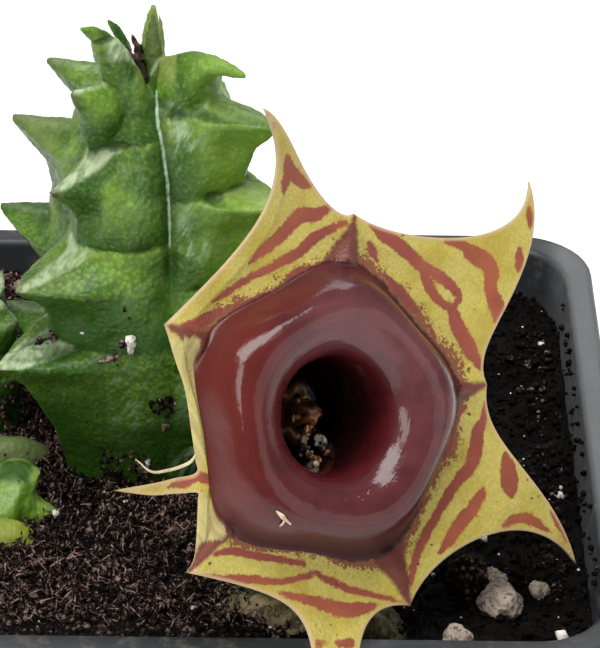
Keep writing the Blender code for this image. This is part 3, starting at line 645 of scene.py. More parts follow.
mainGreen = greenSkin("glossyGreenSkin", {
    "dark": (0.026, 0.080, 0.007), "light": (0.185, 0.325, 0.036), "speck": (0.165, 0.31, 0.035),
    "bright": (0.23, 0.39, 0.045), "dull": (0.27, 0.31, 0.08), "pale": (0.50, 0.60, 0.36),
    "deep": (0.014, 0.046, 0.005), "line": (0.36, 0.50, 0.34), "tip": (0.075, 0.060, 0.026),
    "olive": (0.115, 0.145, 0.045),
}, 0.36)
youngGreen = greenSkin("youngGreenSkin", {
    "dark": (0.10, 0.20, 0.012), "light": (0.27, 0.34, 0.03), "speck": (0.22, 0.31, 0.04),
    "bright": (0.36, 0.43, 0.06), "dull": (0.36, 0.42, 0.10), "pale": (0.48, 0.58, 0.26),
    "deep": (0.012, 0.060, 0.004), "line": (0.40, 0.48, 0.18), "tip": (0.05, 0.12, 0.03),
    "olive": (0.20, 0.28, 0.05),
}, 0.38)
mainSkin = growStem(mainStem, "mainStemSkin")
finishPiece(mainSkin, mainGreen, ("main_stem",))
sideSkin = growStem(sideStem, "sideStemSkin")
addNotes(sideSkin, "crease", lambda spot: 9.0 if spot.z > 4.2 else 0.0)  # its foot is stained by the soil
# painted highlight along its upper end
addNotes(sideSkin, "pale", lambda spot: 0.9 * clamp((spot.z - 10.4) / 0.8))
finishPiece(sideSkin, mainGreen, ("side_stem",))
offsetSkin = growStem(offsetStem, "offsetStemSkin")
spotPlace = Vector((-21.1, -10.9, 1.8))  # the dark green tip of its dome
addNotes(offsetSkin, "crease", lambda spot: ((spot - spotPlace).length - 1.15) * 0.5)
finishPiece(offsetSkin, youngGreen, ("offset_stem",))


def swellBud(name, centre, radii):  # a young bud, still round
    def swell(spot):
        spot = spot * (1.0 + 0.10 * noise.noise(spot * 1.6) + 0.03 * noise.noise(spot * 5.0))
        return Vector([at + size * way for at, size, way in zip(centre, radii, spot)]) * mm

    bud = roundShape(name, 5, swell)
    plainSkin(bud)
    return bud


budGreen = greenSkin("budSkin", {
    "dark": (0.20, 0.24, 0.03), "light": (0.34, 0.33, 0.06), "speck": (0.31, 0.32, 0.08),
    "bright": (0.48, 0.45, 0.15), "dull": (0.36, 0.34, 0.10), "pale": (0.5, 0.5, 0.26),
    "deep": (0.08, 0.09, 0.015), "line": (0.40, 0.48, 0.18), "tip": (0.05, 0.12, 0.03),
    "olive": (0.24, 0.24, 0.05),
}, 0.4)
finishPiece(swellBud("roundBud", (-22.8, -16.9, rimHeight - 2.2), (4.5, 2.5, 2.6)), budGreen)
print("stems grown")


# stems that lie in the soil
lyingStems = {
    "creepingStemSkin": {
        "start": (-30.2, -3.7, -1.7), "end": (-18.4, -2.5, -3.0), "radius": 2.3, "ridges": 4, "depth": 0.10,
        "wrinkle": 0.15, "rough": 0.06, "standsFor": "creeping_stem", "slot": "green_skin",
    },
    "witheredStemSkin": {
        "start": (-2.6, -24.9, -4.1), "end": (15.0, -27.9, -5.3), "radius": 4.7, "ridges": 5, "depth": 0.16,
        "wrinkle": 0.6, "rough": 0.42, "standsFor": "old_stem", "slot": "withered_skin",
    },
}


def layStem(name, spec):
    start, end = Vector(spec["start"]), Vector(spec["end"])
    along = (end - start).normalized()
    across = along.cross(Vector((0.0, 0.0, 1.0))).normalized()
    up = across.cross(along)
    rows = 90

    def place(share, row):
        t = 0.5 - 0.5 * math.cos(math.pi * row / rows)
        centre = start.lerp(end, t)
        radius = spec["radius"] * max(1.0 - abs(2.0 * t - 1.0) ** 3.2, 0.0) ** 0.5
        angle = 2.0 * math.pi * share
        fold = 1.0 - spec["depth"] * (0.5 - 0.5 * math.cos(spec["ridges"] * angle + t))
        out = across * math.cos(angle) + up * math.sin(angle)
        spot = centre + out * radius * fold
        if 0 < row < rows:
            small = spec["rough"] * (noise.noise(spot * 1.3) + 0.6 * noise.noise(spot * 3.1))
            spot += out * (spec["wrinkle"] * noise.noise(spot * 0.45) + small)
        spot.z += rimHeight
        return spot

    return wrapSheet(name, 72, rows, place)


def driedSkin(name):  # mottled olive and tan, dry and cracked
    paint = Paint(name, 0.8)
    broad = paint.noise(260.0, 5.0, 0.62)
    fine = paint.noise(1100.0, 4.0, 0.7)
    skin = paint.ramp(paint.step(broad, 0.3, 0.7), (
        (0.0, (0.03, 0.021, 0.009)), (0.35, (0.11, 0.085, 0.032)),
        (0.6, (0.19, 0.15, 0.065)), (1.0, (0.38, 0.28, 0.15))))
    skin = paint.veil(skin, (0.34, 0.27, 0.16), fine, 0.52, 0.68, 0.0, 0.6)
    pits = paint.noise(900.0, 4.0, 0.65)
    skin = paint.veil(skin, (0.018, 0.013, 0.006), pits, 0.46, 0.58, 0.0, 0.85)
    paint.shade("Base Color", skin)
    paint.roughen((fine, 0.6, 0.25), (pits, 0.6, 0.35), (broad, 0.5, 0.8))
    return paint.material


driedBrown = driedSkin("driedSkin")
dullGreen = greenSkin("dullGreenSkin", {
    "dark": (0.10, 0.14, 0.04), "light": (0.17, 0.22, 0.075), "speck": (0.14, 0.16, 0.07),
    "bright": (0.22, 0.25, 0.11), "dull": (0.22, 0.22, 0.10), "pale": (0.25, 0.27, 0.14),
    "deep": (0.05, 0.07, 0.02), "line": (0.16, 0.2, 0.08), "tip": (0.13, 0.10, 0.05),
    "olive": (0.11, 0.13, 0.05),
}, 0.5)
for name, spec in lyingStems.items():
    lying = layStem(name, spec)
    plainSkin(lying)
    skin = driedBrown if spec["slot"] == "withered_skin" else dullGreen
    finishPiece(lying, skin, (spec["standsFor"],))


def growTwig(name, line, thick, lumps):  # a thin withered thing along a line, from the rim
    line = softLine([(x, y, z + rimHeight) for x, y, z in line], 6)
    last = len(line) - 1

    def place(share, row):
        along = (line[min(row + 1, last)] - line[max(row - 1, 0)]).normalized()
        side = along.cross(Vector((0.0, 1.0, 0.0))).normalized()
        other = along.cross(side)
        angle = 2.0 * math.pi * share
        half = 0.0 if row in (0, last) else thick * math.sin(math.pi * (0.15 + 0.75 * row / last))
        half *= 1.0 + lumps * noise.noise(line[row] * 1.6 + polar(1.0, angle))
        return line[row] + (side * math.cos(angle) + other * math.sin(angle)) * half

    return wrapSheet(name, 14, last, place)


bracts = {  # dried, between the leaves of the crown: its line, half its thickness, its lumps
    "driedBractLong": (
        ((-8.7, -1.4, 35.6), (-9.0, -1.5, 37.4), (-9.5, -1.2, 39.0), (-9.6, -1.0, 40.4), (-10.0, -1.0, 41.7)),
        0.34, 1.0,
    ),
    "driedBractShort": (
        ((-8.9, -1.0, 35.6), (-9.2, -1.1, 36.9), (-9.7, -1.3, 38.0), (-10.0, -1.0, 39.3)), 0.30, 1.2,
    ),
    "driedBractLoose": (
        ((-9.3, -1.1, 38.4), (-9.7, -1.2, 39.3), (-10.3, -1.1, 39.9), (-10.5, -1.1, 40.7)), 0.2, 1.0,
    ),
}
bractDark = mottled("witheredBract", 0.8, ((0.012, 0.006, 0.005), (0.13, 0.055, 0.035)), 900.0, bump=(0.5, 0.2))
for name, shape in bracts.items():
    finishPiece(growTwig(name, *shape), bractDark)
print("lying stems laid")


potShape = {
    "footHalf": 25.0, "half": 35.0, "height": 65.0, "corner": 5.0, "lip": 2.8, "skirt": 5.0, "wall": 1.0,
    "floor": 1.4, "edge": 0.5, "rounding": 0.8, "holes": 8, "holeRadius": 2.2, "holeRing": 17.0,
}


def innerHalf(z):
    foot, top = potShape["footHalf"] - potShape["wall"], potShape["half"] - potShape["lip"]
    return foot + (top - foot) * (z - potShape["floor"]) / (potShape["height"] - potShape["floor"])


def mouldPot(spec):
    edge, high = spec["edge"], spec["height"]
    start = spec["footHalf"] - edge
    deselectAll()
    bpy.ops.mesh.primitive_plane_add(size=2.0 * start * mm)
    pot = bpy.context.object
    pot.name = "nurseryPot"
    bpy.ops.object.mode_set(mode="EDIT")
    bpy.ops.mesh.select_all(action="SELECT")
    bpy.ops.mesh.bevel(offset=spec["corner"] * mm, segments=9, affect="VERTICES")
    bpy.ops.mesh.select_all(action="SELECT")
    now = {"half": start, "z": 0.0}

    def growTo(half, z):
        bpy.ops.mesh.extrude_region_move(TRANSFORM_OT_translate={"value": (0.0, 0.0, (z - now["z"]) * mm)})
        share = half / now["half"]
        bpy.ops.transform.resize(value=(share, share, 1.0), center_override=(0.0, 0.0, z * mm))
        now["half"], now["z"] = half, z

    growTo(start + 0.7 * edge, 0.3 * edge)
    growTo(spec["footHalf"], edge)
    underSkirt = high - spec["skirt"]
    for share in (0.25, 0.5, 0.75, 1.0):
        z = edge + (underSkirt - edge) * share
        growTo(spec["footHalf"] + (innerHalf(underSkirt) + spec["wall"] - spec["footHalf"]) * share, z)
    growTo(spec["half"] - 0.6, underSkirt)
    growTo(spec["half"] - 0.25, underSkirt + 0.35)  # its lower edge is broken
    growTo(spec["half"] - 0.1, high - 1.6)  # and it leans in a little
    lipInner, rounding = spec["half"] - spec["lip"], spec["rounding"]
    for step in range(6):
        turn = math.radians(18 * step)
        growTo(spec["half"] - rounding * (1.0 - math.cos(turn)), high - rounding * (1.0 - math.sin(turn)))
    for step in range(1, 6):
        turn = math.radians(18 * step)
        growTo(lipInner + rounding * (1.0 - math.sin(turn)), high - rounding * (1.0 - math.cos(turn)))
    for z in (50.0, 30.0, spec["floor"]):
        growTo(innerHalf(z), z)
    bpy.ops.mesh.select_all(action="SELECT")
    bpy.ops.mesh.normals_make_consistent(inside=False)
    bpy.ops.object.mode_set(mode="OBJECT")
    for number in range(spec["holes"]):
        turn = math.radians(360 / spec["holes"] * number)
        spot = (spec["holeRing"] * math.cos(turn) * mm, spec["holeRing"] * math.sin(turn) * mm, 0.5 * mm)
        size = {"radius": spec["holeRadius"] * mm, "depth": 6.0 * mm}
        bpy.ops.mesh.primitive_cylinder_add(vertices=32, location=spot, **size)
        punch = bpy.context.object
        cutHole = pot.modifiers.new("drainHole", "BOOLEAN")
        cutHole.object = punch
        cutHole.solver = "EXACT"
        pick(pot)
        bpy.ops.object.modifier_apply(modifier=cutHole.name)
        bpy.data.objects.remove(punch)
    return pot


def potPlastic():
    paint = Paint("dustAndSheenPotPlastic", 0.5, IOR=1.46)
    dust = paint.noise(420.0, 5.0, 0.7)
    broad = paint.noise(60.0, 2.0, 0.5)
    grain = paint.noise(5200.0, 2.0, 0.5)
    height = paint.axis("Z")
    plastic = paint.veil((0.022, 0.023, 0.027), (0.033, 0.034, 0.038), broad, 0.35, 0.65)
    settled = paint.times(paint.step(dust, 0.5, 0.72), paint.step(height, 0.057, 0.0645, 0.25, 0.8))
    plastic = paint.blend(settled, plastic, (0.10, 0.094, 0.088))
    across = paint.axis("X")
    depth = paint.axis("Y")
    paintedRimSheen = paint.times(paint.step(across, 0.0300, 0.0325, 0.0, 0.5), paint.step(depth, -0.028, -0.004))
    plastic = paint.blend(paintedRimSheen, plastic, (0.19, 0.195, 0.195))  # a painted sheen of light along the right side of the rim
    paint.shade("Base Color", plastic)
    paint.shade("Roughness", paint.step(dust, 0.35, 0.75, 0.40, 0.68))
    paint.roughen((grain, 0.12, 0.05), (dust, 0.15, 0.10))
    return paint.material


pot = mouldPot(potShape)
finishPiece(pot, potPlastic(), ("pot",))
bpy.ops.object.shade_smooth_by_angle(angle=math.radians(32.0))
print("pot moulded")


soilBed = {
    "level": -3.3, "heap": 2.3, "dip": 1.9, "relief": 0.55, "cells": 190, "corner": 4.8,
    "crumbs": 9500, "chips": 170, "fibres": 13000, "perlite": 36, "grit": 190, "stuck": 60, "ridge": 420,
}


def soilTop(x, y):  # height from the rim: heaped at the front left, low at the right
    heap = clamp((-0.6 * x - 0.8 * y - 4.0) / 26.0)
    dip = clamp((x - 2.0) / 24.0)
    rough = noise.noise(Vector((x, y, 0.0)) * 0.16) + 0.5 * noise.noise(Vector((x, y, 9.0)) * 0.4)
    return soilBed["level"] + soilBed["heap"] * heap - soilBed["dip"] * dip + soilBed["relief"] * rough


def soilRelief(x, y):  # the lumps of the bed itself
    lumps = 0.42 * noise.noise(Vector((x, y, 3.0)) * 0.55) + 0.34 * noise.noise(Vector((x, y, 5.0)) * 1.2)
    return soilTop(x, y) - 0.15 + lumps + 0.22 * noise.noise(Vector((x, y, 7.0)) * 2.6)


def roundedReach(x, y, half, corner):  # how far a square with rounded corners reaches in a direction
    across, along = sorted((abs(x), abs(y)))
    if half * across / along <= half - corner:
        return half / along
    middle = (half - corner) * (across + along)
    return middle + math.sqrt(max(middle ** 2 - 2.0 * (half - corner) ** 2 + corner ** 2, 0.0))


def bedPlace(a, b, half):
    most = max(abs(a), abs(b))
    if most < 0.000001:
        return 0.0, 0.0
    long = math.hypot(a, b)
    reach = roundedReach(a / long, b / long, half, soilBed["corner"]) * most
    return a / long * reach, b / long * reach


def fillSoil():
    cells = soilBed["cells"]
    half = innerHalf(rimHeight + soilBed["level"]) - 0.08

    def place(share, row):
        x, y = bedPlace(2.0 * share - 1.0, 2.0 * row / cells - 1.0, half)
        return Vector((x, y, rimHeight + soilRelief(x, y)))

    bed = wrapSheet("soilBed", cells, cells, place)
    bpy.ops.object.mode_set(mode="EDIT")
    bpy.context.tool_settings.mesh_select_mode = (False, True, False)
    bpy.ops.mesh.select_all(action="DESELECT")
    bpy.ops.mesh.select_non_manifold(extend=False, use_wire=False, use_boundary=True, use_multi_face=False,
                                     use_non_contiguous=False, use_verts=False)
    bpy.ops.mesh.extrude_edges_move(TRANSFORM_OT_translate={"value": (0.0, 0.0, -3.0 * mm)})
    middle = (0.0, 0.0, 2.0 * mm)
    foot = (innerHalf(2.0) - 0.3) / half
    bpy.ops.transform.resize(value=(foot, foot, 0.0), center_override=middle)
    bpy.ops.mesh.edge_face_add()
    bpy.ops.mesh.select_all(action="SELECT")
    bpy.ops.mesh.normals_make_consistent(inside=False)
    bpy.context.tool_settings.mesh_select_mode = (True, False, False)
    bpy.ops.object.mode_set(mode="OBJECT")
    return bed


def shapeOf(piece):  # a small modelled shape as points and faces, and the shape itself is put away
    points = [tuple(vert.co) for vert in piece.data.vertices]
    faces = [tuple(face.vertices) for face in piece.data.polygons]
    bpy.data.objects.remove(piece)
    return np.array(points), faces


def crumbShape(seed, squash, subdivisions=1, rough=0.35):
    def crumble(spot):
        lump = 1.0 + rough * noise.noise(spot * 1.7 + Vector((seed * 3.1, seed, 0.0)))
        return Vector((spot.x * lump, spot.y * lump, spot.z * lump * squash))

    return shapeOf(roundShape("crumb", subdivisions, crumble))


def fibreShape(seed):  # a thin bent thread
    deselectAll()
    bpy.ops.mesh.primitive_cylinder_add(vertices=3, radius=1.0, depth=2.0)
    fibre = bpy.context.object
    bpy.ops.object.mode_set(mode="EDIT")
    bpy.context.tool_settings.mesh_select_mode = (False, False, True)
    bpy.ops.mesh.select_all(action="DESELECT")
    bpy.ops.object.mode_set(mode="OBJECT")
    for face in fibre.data.polygons:
        face.select = face.normal.z > 0.9
    bpy.ops.object.mode_set(mode="EDIT")
    for step in range(2):
        bpy.ops.mesh.extrude_region_move(TRANSFORM_OT_translate={"value": (0.0, 0.0, 4.0)})
    bpy.context.tool_settings.mesh_select_mode = (True, False, False)
    bpy.ops.object.mode_set(mode="OBJECT")
    for vert in fibre.data.vertices:
        along = (vert.co.z - 4.0) / 5.0
        thin = 0.07 * (1.0 - 0.75 * along * along)
        bend = 0.42 * math.sin(along * 2.4 + seed) * Vector((math.cos(seed), math.sin(seed), 0.0))
        vert.co = Vector((vert.co.x * thin, vert.co.y * thin, along)) + bend
    return shapeOf(fibre)


def scatter(name, shapes, spots):  # spots: (number of the shape, place, size, turn, tone)
    points, faces, tones = [], [], []
    count = 0
    for number, place, size, turn, tone in spots:
        shape, shapeFaces = shapes[number]
        spread = (shape * np.array(size)) @ np.array(turn.to_matrix()).T + np.array(place)
        points.append(spread * mm)
        faces += [tuple(index + count for index in face) for face in shapeFaces]
        tones += [tone] * len(shape)
        count += len(shape)
    mesh = bpy.data.meshes.new(name)
    mesh.from_pydata(np.concatenate(points).tolist(), [], faces)
    piece = bpy.data.objects.new(name, mesh)
    bpy.context.scene.collection.objects.link(piece)
    giveValues(piece, "tone", tones)
    return piece


def turnAbout(axis, angle):
    return Matrix.Rotation(angle, 3, axis).to_quaternion()


def anyTurn():
    return turnAbout("X", random.uniform(0, 6.28)) @ turnAbout("Z", random.uniform(0, 6.28))


def anySpot(room=0.4):  # a place on the soil inside the pot
    half = innerHalf(rimHeight + soilBed["level"]) - room
    return bedPlace(random.uniform(-1.0, 1.0), random.uniform(-1.0, 1.0), half)


def onBed(x, y, lift):
    return x, y, rimHeight + soilRelief(x, y) + lift


def soilMaterial(name, dark, middle, light):
    paint = Paint(name, 0.9, Specular_IOR_Level=0.08)
    fine = paint.noise(900.0, 5.0, 0.7)
    broad = paint.noise(170.0, 3.0, 0.6)
    tone = paint.plus(paint.times(broad, 0.45), paint.times(fine, 0.4))
    tone = paint.plus(tone, paint.times(paint.value("tone"), 0.55))
    granules = paint.node("TexVoronoi", Vector=paint.place(), Scale=2300.0)
    chance = paint.node("SeparateXYZ", Vector=granules.outputs["Color"]).outputs["X"]
    tone = paint.plus(tone, paint.step(chance, 0.35, 1.0, -0.06, 0.30))
    tone = paint.minus(tone, paint.step(granules.outputs["Distance"], 0.30, 0.65, 0.0, 0.25))
    across = paint.axis("X")
    tone = paint.minus(tone, paint.step(across, 0.003, 0.015, 0.0, 0.52))  # painted shade: darker at the right
    paint.shade("Base Color", paint.ramp(tone, ((0.34, dark), (0.60, middle), (0.92, light))))
    paint.shade("Roughness", paint.step(broad, 0.35, 0.65, 0.62, 0.97))
    paint.roughen((paint.minus(1.0, granules.outputs["Distance"]), 0.8, 0.22), (fine, 0.9, 0.30))
    return paint.material


peat = soilMaterial("moistPeat", (0.0025, 0.0017, 0.0015), (0.022, 0.0145, 0.0125), (0.18, 0.122, 0.104))
bark = soilMaterial("barkFibre", (0.005, 0.0030, 0.0026), (0.060, 0.036, 0.030), (0.31, 0.205, 0.170))
bed = fillSoil()
giveValues(bed, "tone", [0.0] * len(bed.data.vertices))
finishPiece(bed, peat, ("soil",))

crumbShapes = [crumbShape(seed, squash) for seed, squash in enumerate((0.9, 0.75, 0.6, 0.85, 0.45), 1)]
spots = []
for number in range(soilBed["crumbs"]):
    x, y = anySpot()
    size = 0.13 + 0.36 * random.random() ** 3.0
    shape = random.randrange(5)
    stretch = (size * random.uniform(0.7, 1.35), size * random.uniform(0.7, 1.2), size)
    spots.append((shape, onBed(x, y, size * 0.35), stretch, anyTurn(), random.random() ** 2))
finishPiece(scatter("peatCrumbs", crumbShapes, spots), peat, flat=True)

spots = []
for number in range(soilBed["chips"]):
    x, y = anySpot(1.4)
    size = 0.3 + 0.8 * random.random() ** 3.0
    stretch = tuple(size * random.uniform(*share) for share in ((0.9, 1.6), (0.5, 1.0), (0.3, 0.6)))
    spots.append((random.randrange(5), onBed(x, y, size * 0.3), stretch, anyTurn(), random.random()))
finishPiece(scatter("barkChips", crumbShapes, spots), bark, flat=True)

fibreShapes = [fibreShape(seed) for seed in (0.3, 1.7, 2.9, 4.4)]
spots = []
for number in range(soilBed["fibres"]):
    x, y = anySpot(2.2)
    if random.random() < clamp((x - 4.0) / 14.0):  # few at the right
        continue
    long = 0.2 + 0.5 * random.random() ** 2.0
    thick = random.uniform(1.1, 2.3)
    tilt = turnAbout("X", math.radians(random.uniform(35, 115)))
    turn = turnAbout("Z", random.uniform(0, 6.28)) @ tilt
    place = onBed(x, y, random.uniform(0.1, 0.6))
    spots.append((random.randrange(4), place, (thick, thick, long), turn, random.random() ** 1.6))
finishPiece(scatter("peatFibres", fibreShapes, spots), bark)

spots = []  # crumbs that stick to the right wall
for number in range(soilBed["stuck"]):
    z = rimHeight - random.uniform(0.9, 5.0)
    size = random.uniform(0.12, 0.4)
    shape, place = random.randrange(5), (innerHalf(z) - 0.12, random.uniform(-22.0, 24.0), z)
    spots.append((shape, place, (size, size, size), anyTurn(), random.random()))
for number in range(soilBed["ridge"]):  # drier crumbs along that wall
    x, y = random.gauss(28.5, 0.9), random.uniform(-21.0, 25.0)
    size = 0.14 + 0.5 * random.random() ** 3.0
    stretch = (size, size * random.uniform(0.6, 1.0), size * random.uniform(0.6, 1.0))
    place = (min(x, 30.6), *onBed(x, y, size * 0.5)[1:])
    spots.append((random.randrange(5), place, stretch, anyTurn(), random.uniform(0.3, 1.25)))
finishPiece(scatter("stuckCrumbs", crumbShapes, spots), bark)
print("soil filled")


# bits of soil on the plant
# (place, how far they scatter, how many, smallest and largest size, tone)
darkBits = (
    ((-11.0, -9.4, 14.9), 0.25, 6, (0.3, 0.5), 0.3), ((-18.4, -6.5, 13.2), 0.8, 10, (0.15, 0.3), 0.3),
    ((-12.0, -9.5, 13.4), 0.9, 8, (0.12, 0.24), 0.2),
    ((-10.8, -9.3, 17.9), 0.6, 4, (0.2, 0.34), 0.0), ((-7.6, -7.6, 7.6), 1.0, 34, (0.2, 0.5), 0.0),
    ((-7.2, -7.5, 7.9), 0.8, 10, (0.2, 0.4), 0.9), ((-7.8, -7.5, 5.2), 0.12, 3, (0.5, 0.6), 0.8),
    ((-9.4, -7.2, 0.2), 0.5, 16, (0.25, 0.6), 0.5), ((-24.6, -0.6, 1.2), 2.4, 80, (0.2, 0.6), 0.2),
    ((-11.4, -7.9, -0.6), 2.2, 70, (0.14, 0.5), 0.1),
    ((-11.0, -8.0, 2.0), 3.0, 24, (0.08, 0.18), 0.0), ((-12.0, -8.0, 9.0), 4.0, 26, (0.06, 0.14), 0.0),
    ((-9.7, -0.9, 40.0), 0.35, 9, (0.2, 0.4), 0.25), ((-9.3, -1.2, 38.6), 0.35, 9, (0.2, 0.42), 0.1),
    ((-9.0, -1.3, 37.1), 0.3, 9, (0.2, 0.42), 0.0), ((-8.7, -1.5, 36.0), 0.3, 9, (0.2, 0.42), 0.1),
)
paleBits = (
    ((-10.1, -9.4, 15.2), 0.12, 2, (0.8, 0.9), 1.0), ((-10.1, -9.4, 14.4), 0.12, 3, (0.6, 0.7), 1.0),
    ((-14.6, -8.5, 15.3), 0.0, 1, (0.26, 0.28), 1.0), ((-17.0, -13.3, -1.4), 0.5, 5, (0.3, 0.5), 1.0),
    ((29.6, -4.0, -5.2), 0.5, 4, (0.35, 0.6), 1.0), ((-6.9, -7.6, 8.0), 0.5, 3, (0.2, 0.3), 1.0),
    ((-9.0, -7.6, 0.6), 0.4, 3, (0.25, 0.35), 1.0),
)
ringBits = (((10.3, -30.9, 14.5), 1.0, 5, (0.06, 0.11), 1.0),)


def strew(name, groups, material, under=()):  # the bits lie on the nearest of the pieces under them
    spots = []
    for (x, y, z), spread, count, (least, most), tone in groups:
        for number in range(count):
            place = Vector((x, y, z + rimHeight))
            place += Vector([random.uniform(-spread, spread) for axis in range(3)])
            size = random.uniform(least, most)
            found = [piece.closest_point_on_mesh(place * mm, distance=2.5 * mm) for piece in under]
            found = [(point / mm, normal) for hit, point, normal, face in found if hit]
            if found:
                point, normal = min(found, key=lambda one: (one[0] - place).length)
                place = point + normal * size * 0.3
            stretch = (size * random.uniform(0.35, 0.6), size * random.uniform(0.5, 0.9), size)
            spots.append((random.randrange(5), place, stretch, anyTurn(), tone + random.uniform(-0.25, 0.25)))
    finishPiece(scatter(name, crumbShapes, spots), material, flat=True)


stemsUnder = (mainSkin, sideSkin, offsetSkin)
strew("bitsOnPlant", darkBits, bark, stemsUnder)
flakes = (  # brown flakes on the main stem: place, size, turn, tone
    ((-12.1, -9.5, 13.3), (1.45, 0.5, 0.3), turnAbout("Y", -0.4), 0.62),
    ((-17.3, -6.9, 13.9), (0.6, 0.5, 0.55), anyTurn(), 0.8),
    ((-18.7, -6.4, 13.3), (0.35, 0.35, 0.5), anyTurn(), 0.7),
)
spots = []
for (x, y, z), size, turn, tone in flakes:
    hit, point, normal, face = mainSkin.closest_point_on_mesh(Vector((x, y, z + rimHeight)) * mm)
    spots.append((4, point / mm + normal * 0.25, size, turn, tone))
finishPiece(scatter("flakesOnPlant", crumbShapes, spots), bark, flat=True)


stones = {  # frame piece: (x, y, radius)
    "pumice_1": (23.4, -21.6, 1.9), "pumice_2": (22.9, -18.4, 1.2), "pumice_3": (19.2, -27.6, 1.4),
    "pumice_4": (-19.0, 23.0, 1.5), "pumice_5": (9.5, 24.5, 1.3), "pumice_6": (27.0, -19.4, 0.9),
}


def pumiceMaterial():
    paint = Paint("porousPumice", 0.9)
    pits = paint.noise(1500.0, 4.0, 0.7)
    broad = paint.noise(380.0, 3.0, 0.6)
    stone = paint.veil((0.24, 0.185, 0.145), (0.46, 0.38, 0.30), broad, 0.35, 0.65)
    stone = paint.veil(stone, (0.07, 0.05, 0.04), pits, 0.38, 0.5, 0.85, 0.0)
    paint.shade("Base Color", stone)
    paint.roughen((pits, 0.8, 0.25))
    return paint.material


def crackStone(name, x, y, radius):
    centre = Vector((x, y, rimHeight + soilTop(x, y) + 0.2 * radius))

    def crack(spot):
        lumps = 1.0 + 0.28 * noise.noise(spot * 1.3 + centre) + 0.12 * noise.noise(spot * 3.2 + centre)
        pit = min(noise.noise(spot * 6.0 + centre) + 0.15, 0.0)
        return (centre + spot * radius * (lumps + 0.28 * pit)) * mm

    return roundShape(name, 5, crack)


pumice = pumiceMaterial()
perlite = mottled("whitePerlite", 0.85, ((0.30, 0.25, 0.21), (0.72, 0.69, 0.63)), 1900.0, 3.0, 0.7, (0.36, 0.5),
                  (0.6, 0.15))
for node, (x, y, radius) in stones.items():
    finishPiece(crackStone(node.replace("_", "Stone"), x, y, radius), pumice, (node,))
lump = crackStone("barkLump", 20.6, -18.3, 2.1)
giveValues(lump, "tone", [0.95] * len(lump.data.vertices))
finishPiece(lump, bark)
grainShapes = [crumbShape(seed, 0.85, 2, 0.45) for seed in (11, 12, 13)]
spots = []
for number in range(soilBed["perlite"]):
    x, y = anySpot(1.0)
    size = 0.22 + 0.5 * random.random() ** 2.5
    stretch = (size * random.uniform(0.8, 1.3), size, size * random.uniform(0.7, 1.0))
    spots.append((random.randrange(3), onBed(x, y, size * 0.5), stretch, anyTurn(), 1.0))
finishPiece(scatter("pumiceGrains", grainShapes, spots), perlite)
strew("paleBits", paleBits, perlite, stemsUnder)
spots = []  # tiny pale grit
for number in range(soilBed["grit"]):
    x, y = anySpot(0.8)
    size = random.uniform(0.07, 0.16)
    spots.append((random.randrange(5), onBed(x, y, 0.25), (size, size, size), anyTurn(), 1.0))
finishPiece(scatter("paleGrit", crumbShapes, spots), perlite)
print("pumice laid")


flowerShape = {
    "centre": (7.2, -24.9, 18.0), "azimuth": -57.7, "elevation": 28.8, "spin": -16.9, "firstLobe": 45.4,
    "ringEdge": 12.3, "ringCorner": 0.75, "limb": 0.85, "margin": 0.34, "tubeFloor": -7.2, "tubeBase": -8.4,
    "columns": 68,  # to each lobe
    "limbRows": 40, "backRows": 18,
}
lobeTurn = 72.0  # degrees from lobe to lobe
# Sections of the tube and ring, and of their back: (distance from the flower's axis, height).
ringProfile = (
    (0.0, -7.2), (1.6, -7.2), (3.2, -7.0), (3.9, -5.6), (4.35, -3.0), (4.75, -0.2), (5.15, 1.7), (5.8, 2.8),
    (6.8, 3.65), (7.9, 4.2), (8.9, 4.35), (9.9, 4.0), (10.7, 3.2), (11.3, 2.1), (11.85, 0.85), (12.3, 0.0),
)
backProfile = (
    (12.3, -1.1), (10.2, -1.2), (7.6, -1.7), (6.2, -3.2), (5.8, -5.4), (5.4, -7.4), (3.6, -8.4), (1.4, -8.4),
    (0.0, -8.4),
)
# A lobe in its own frame, along its axis and across it: how far the small tooth at its left reaches, its tip,
# the handles of its two margins or the points they run through, and its folds as (distance out, degrees back,
# radius).
lobes = (
    {
        "tooth": 17.4, "tip": (29.9, -0.8), "folds": ((16.0, 10.0, 30.0),),
        "left": ((15.1, 5.3), (24.9, -5.2)), "right": ((14.4, -4.7), (26.3, -7.9)),
    },
    {
        "tooth": 16.9, "tip": (27.5, -4.2), "folds": ((14.6, -28.0, 14.0),),
        "left": ((16.8, -2.3), (18.4, -6.4)), "right": ((14.0, -7.2), (24.6, -7.1)),
    },
    {
        "tooth": 18.3, "tip": (27.3, 4.7), "folds": ((11.6, 88.0, 1.6),),
        "leftLine": (
            (13.95, 9.85), (13.5, 8.4), (13.15, 6.6), (12.85, 5.0), (12.9, 4.35), (15.25, 4.4), (19.9, 4.75),
        ),
        "rightLine": (
            (13.2, -7.0), (12.65, -4.3), (12.55, -0.9), (12.55, 1.6), (12.7, 2.75), (15.1, 3.1), (19.8, 3.8),
        ),
    },
    {
        "tooth": 18.6, "tip": (29.6, 3.0), "folds": ((21.5, 42.0, 5.0), (15.3, -15.0, 9.0)),
        "left": ((14.9, 3.0), (26.3, 8.1)), "right": ((15.8, 4.2), (17.0, 0.6)),
    },
    {
        "tooth": 16.3, "tip": (30.1, -0.2), "folds": ((16.0, 8.0, 30.0),),
        "left": ((15.0, 3.9), (23.7, 5.7)), "right": ((14.6, -5.0), (22.3, 3.1)),
    },
)
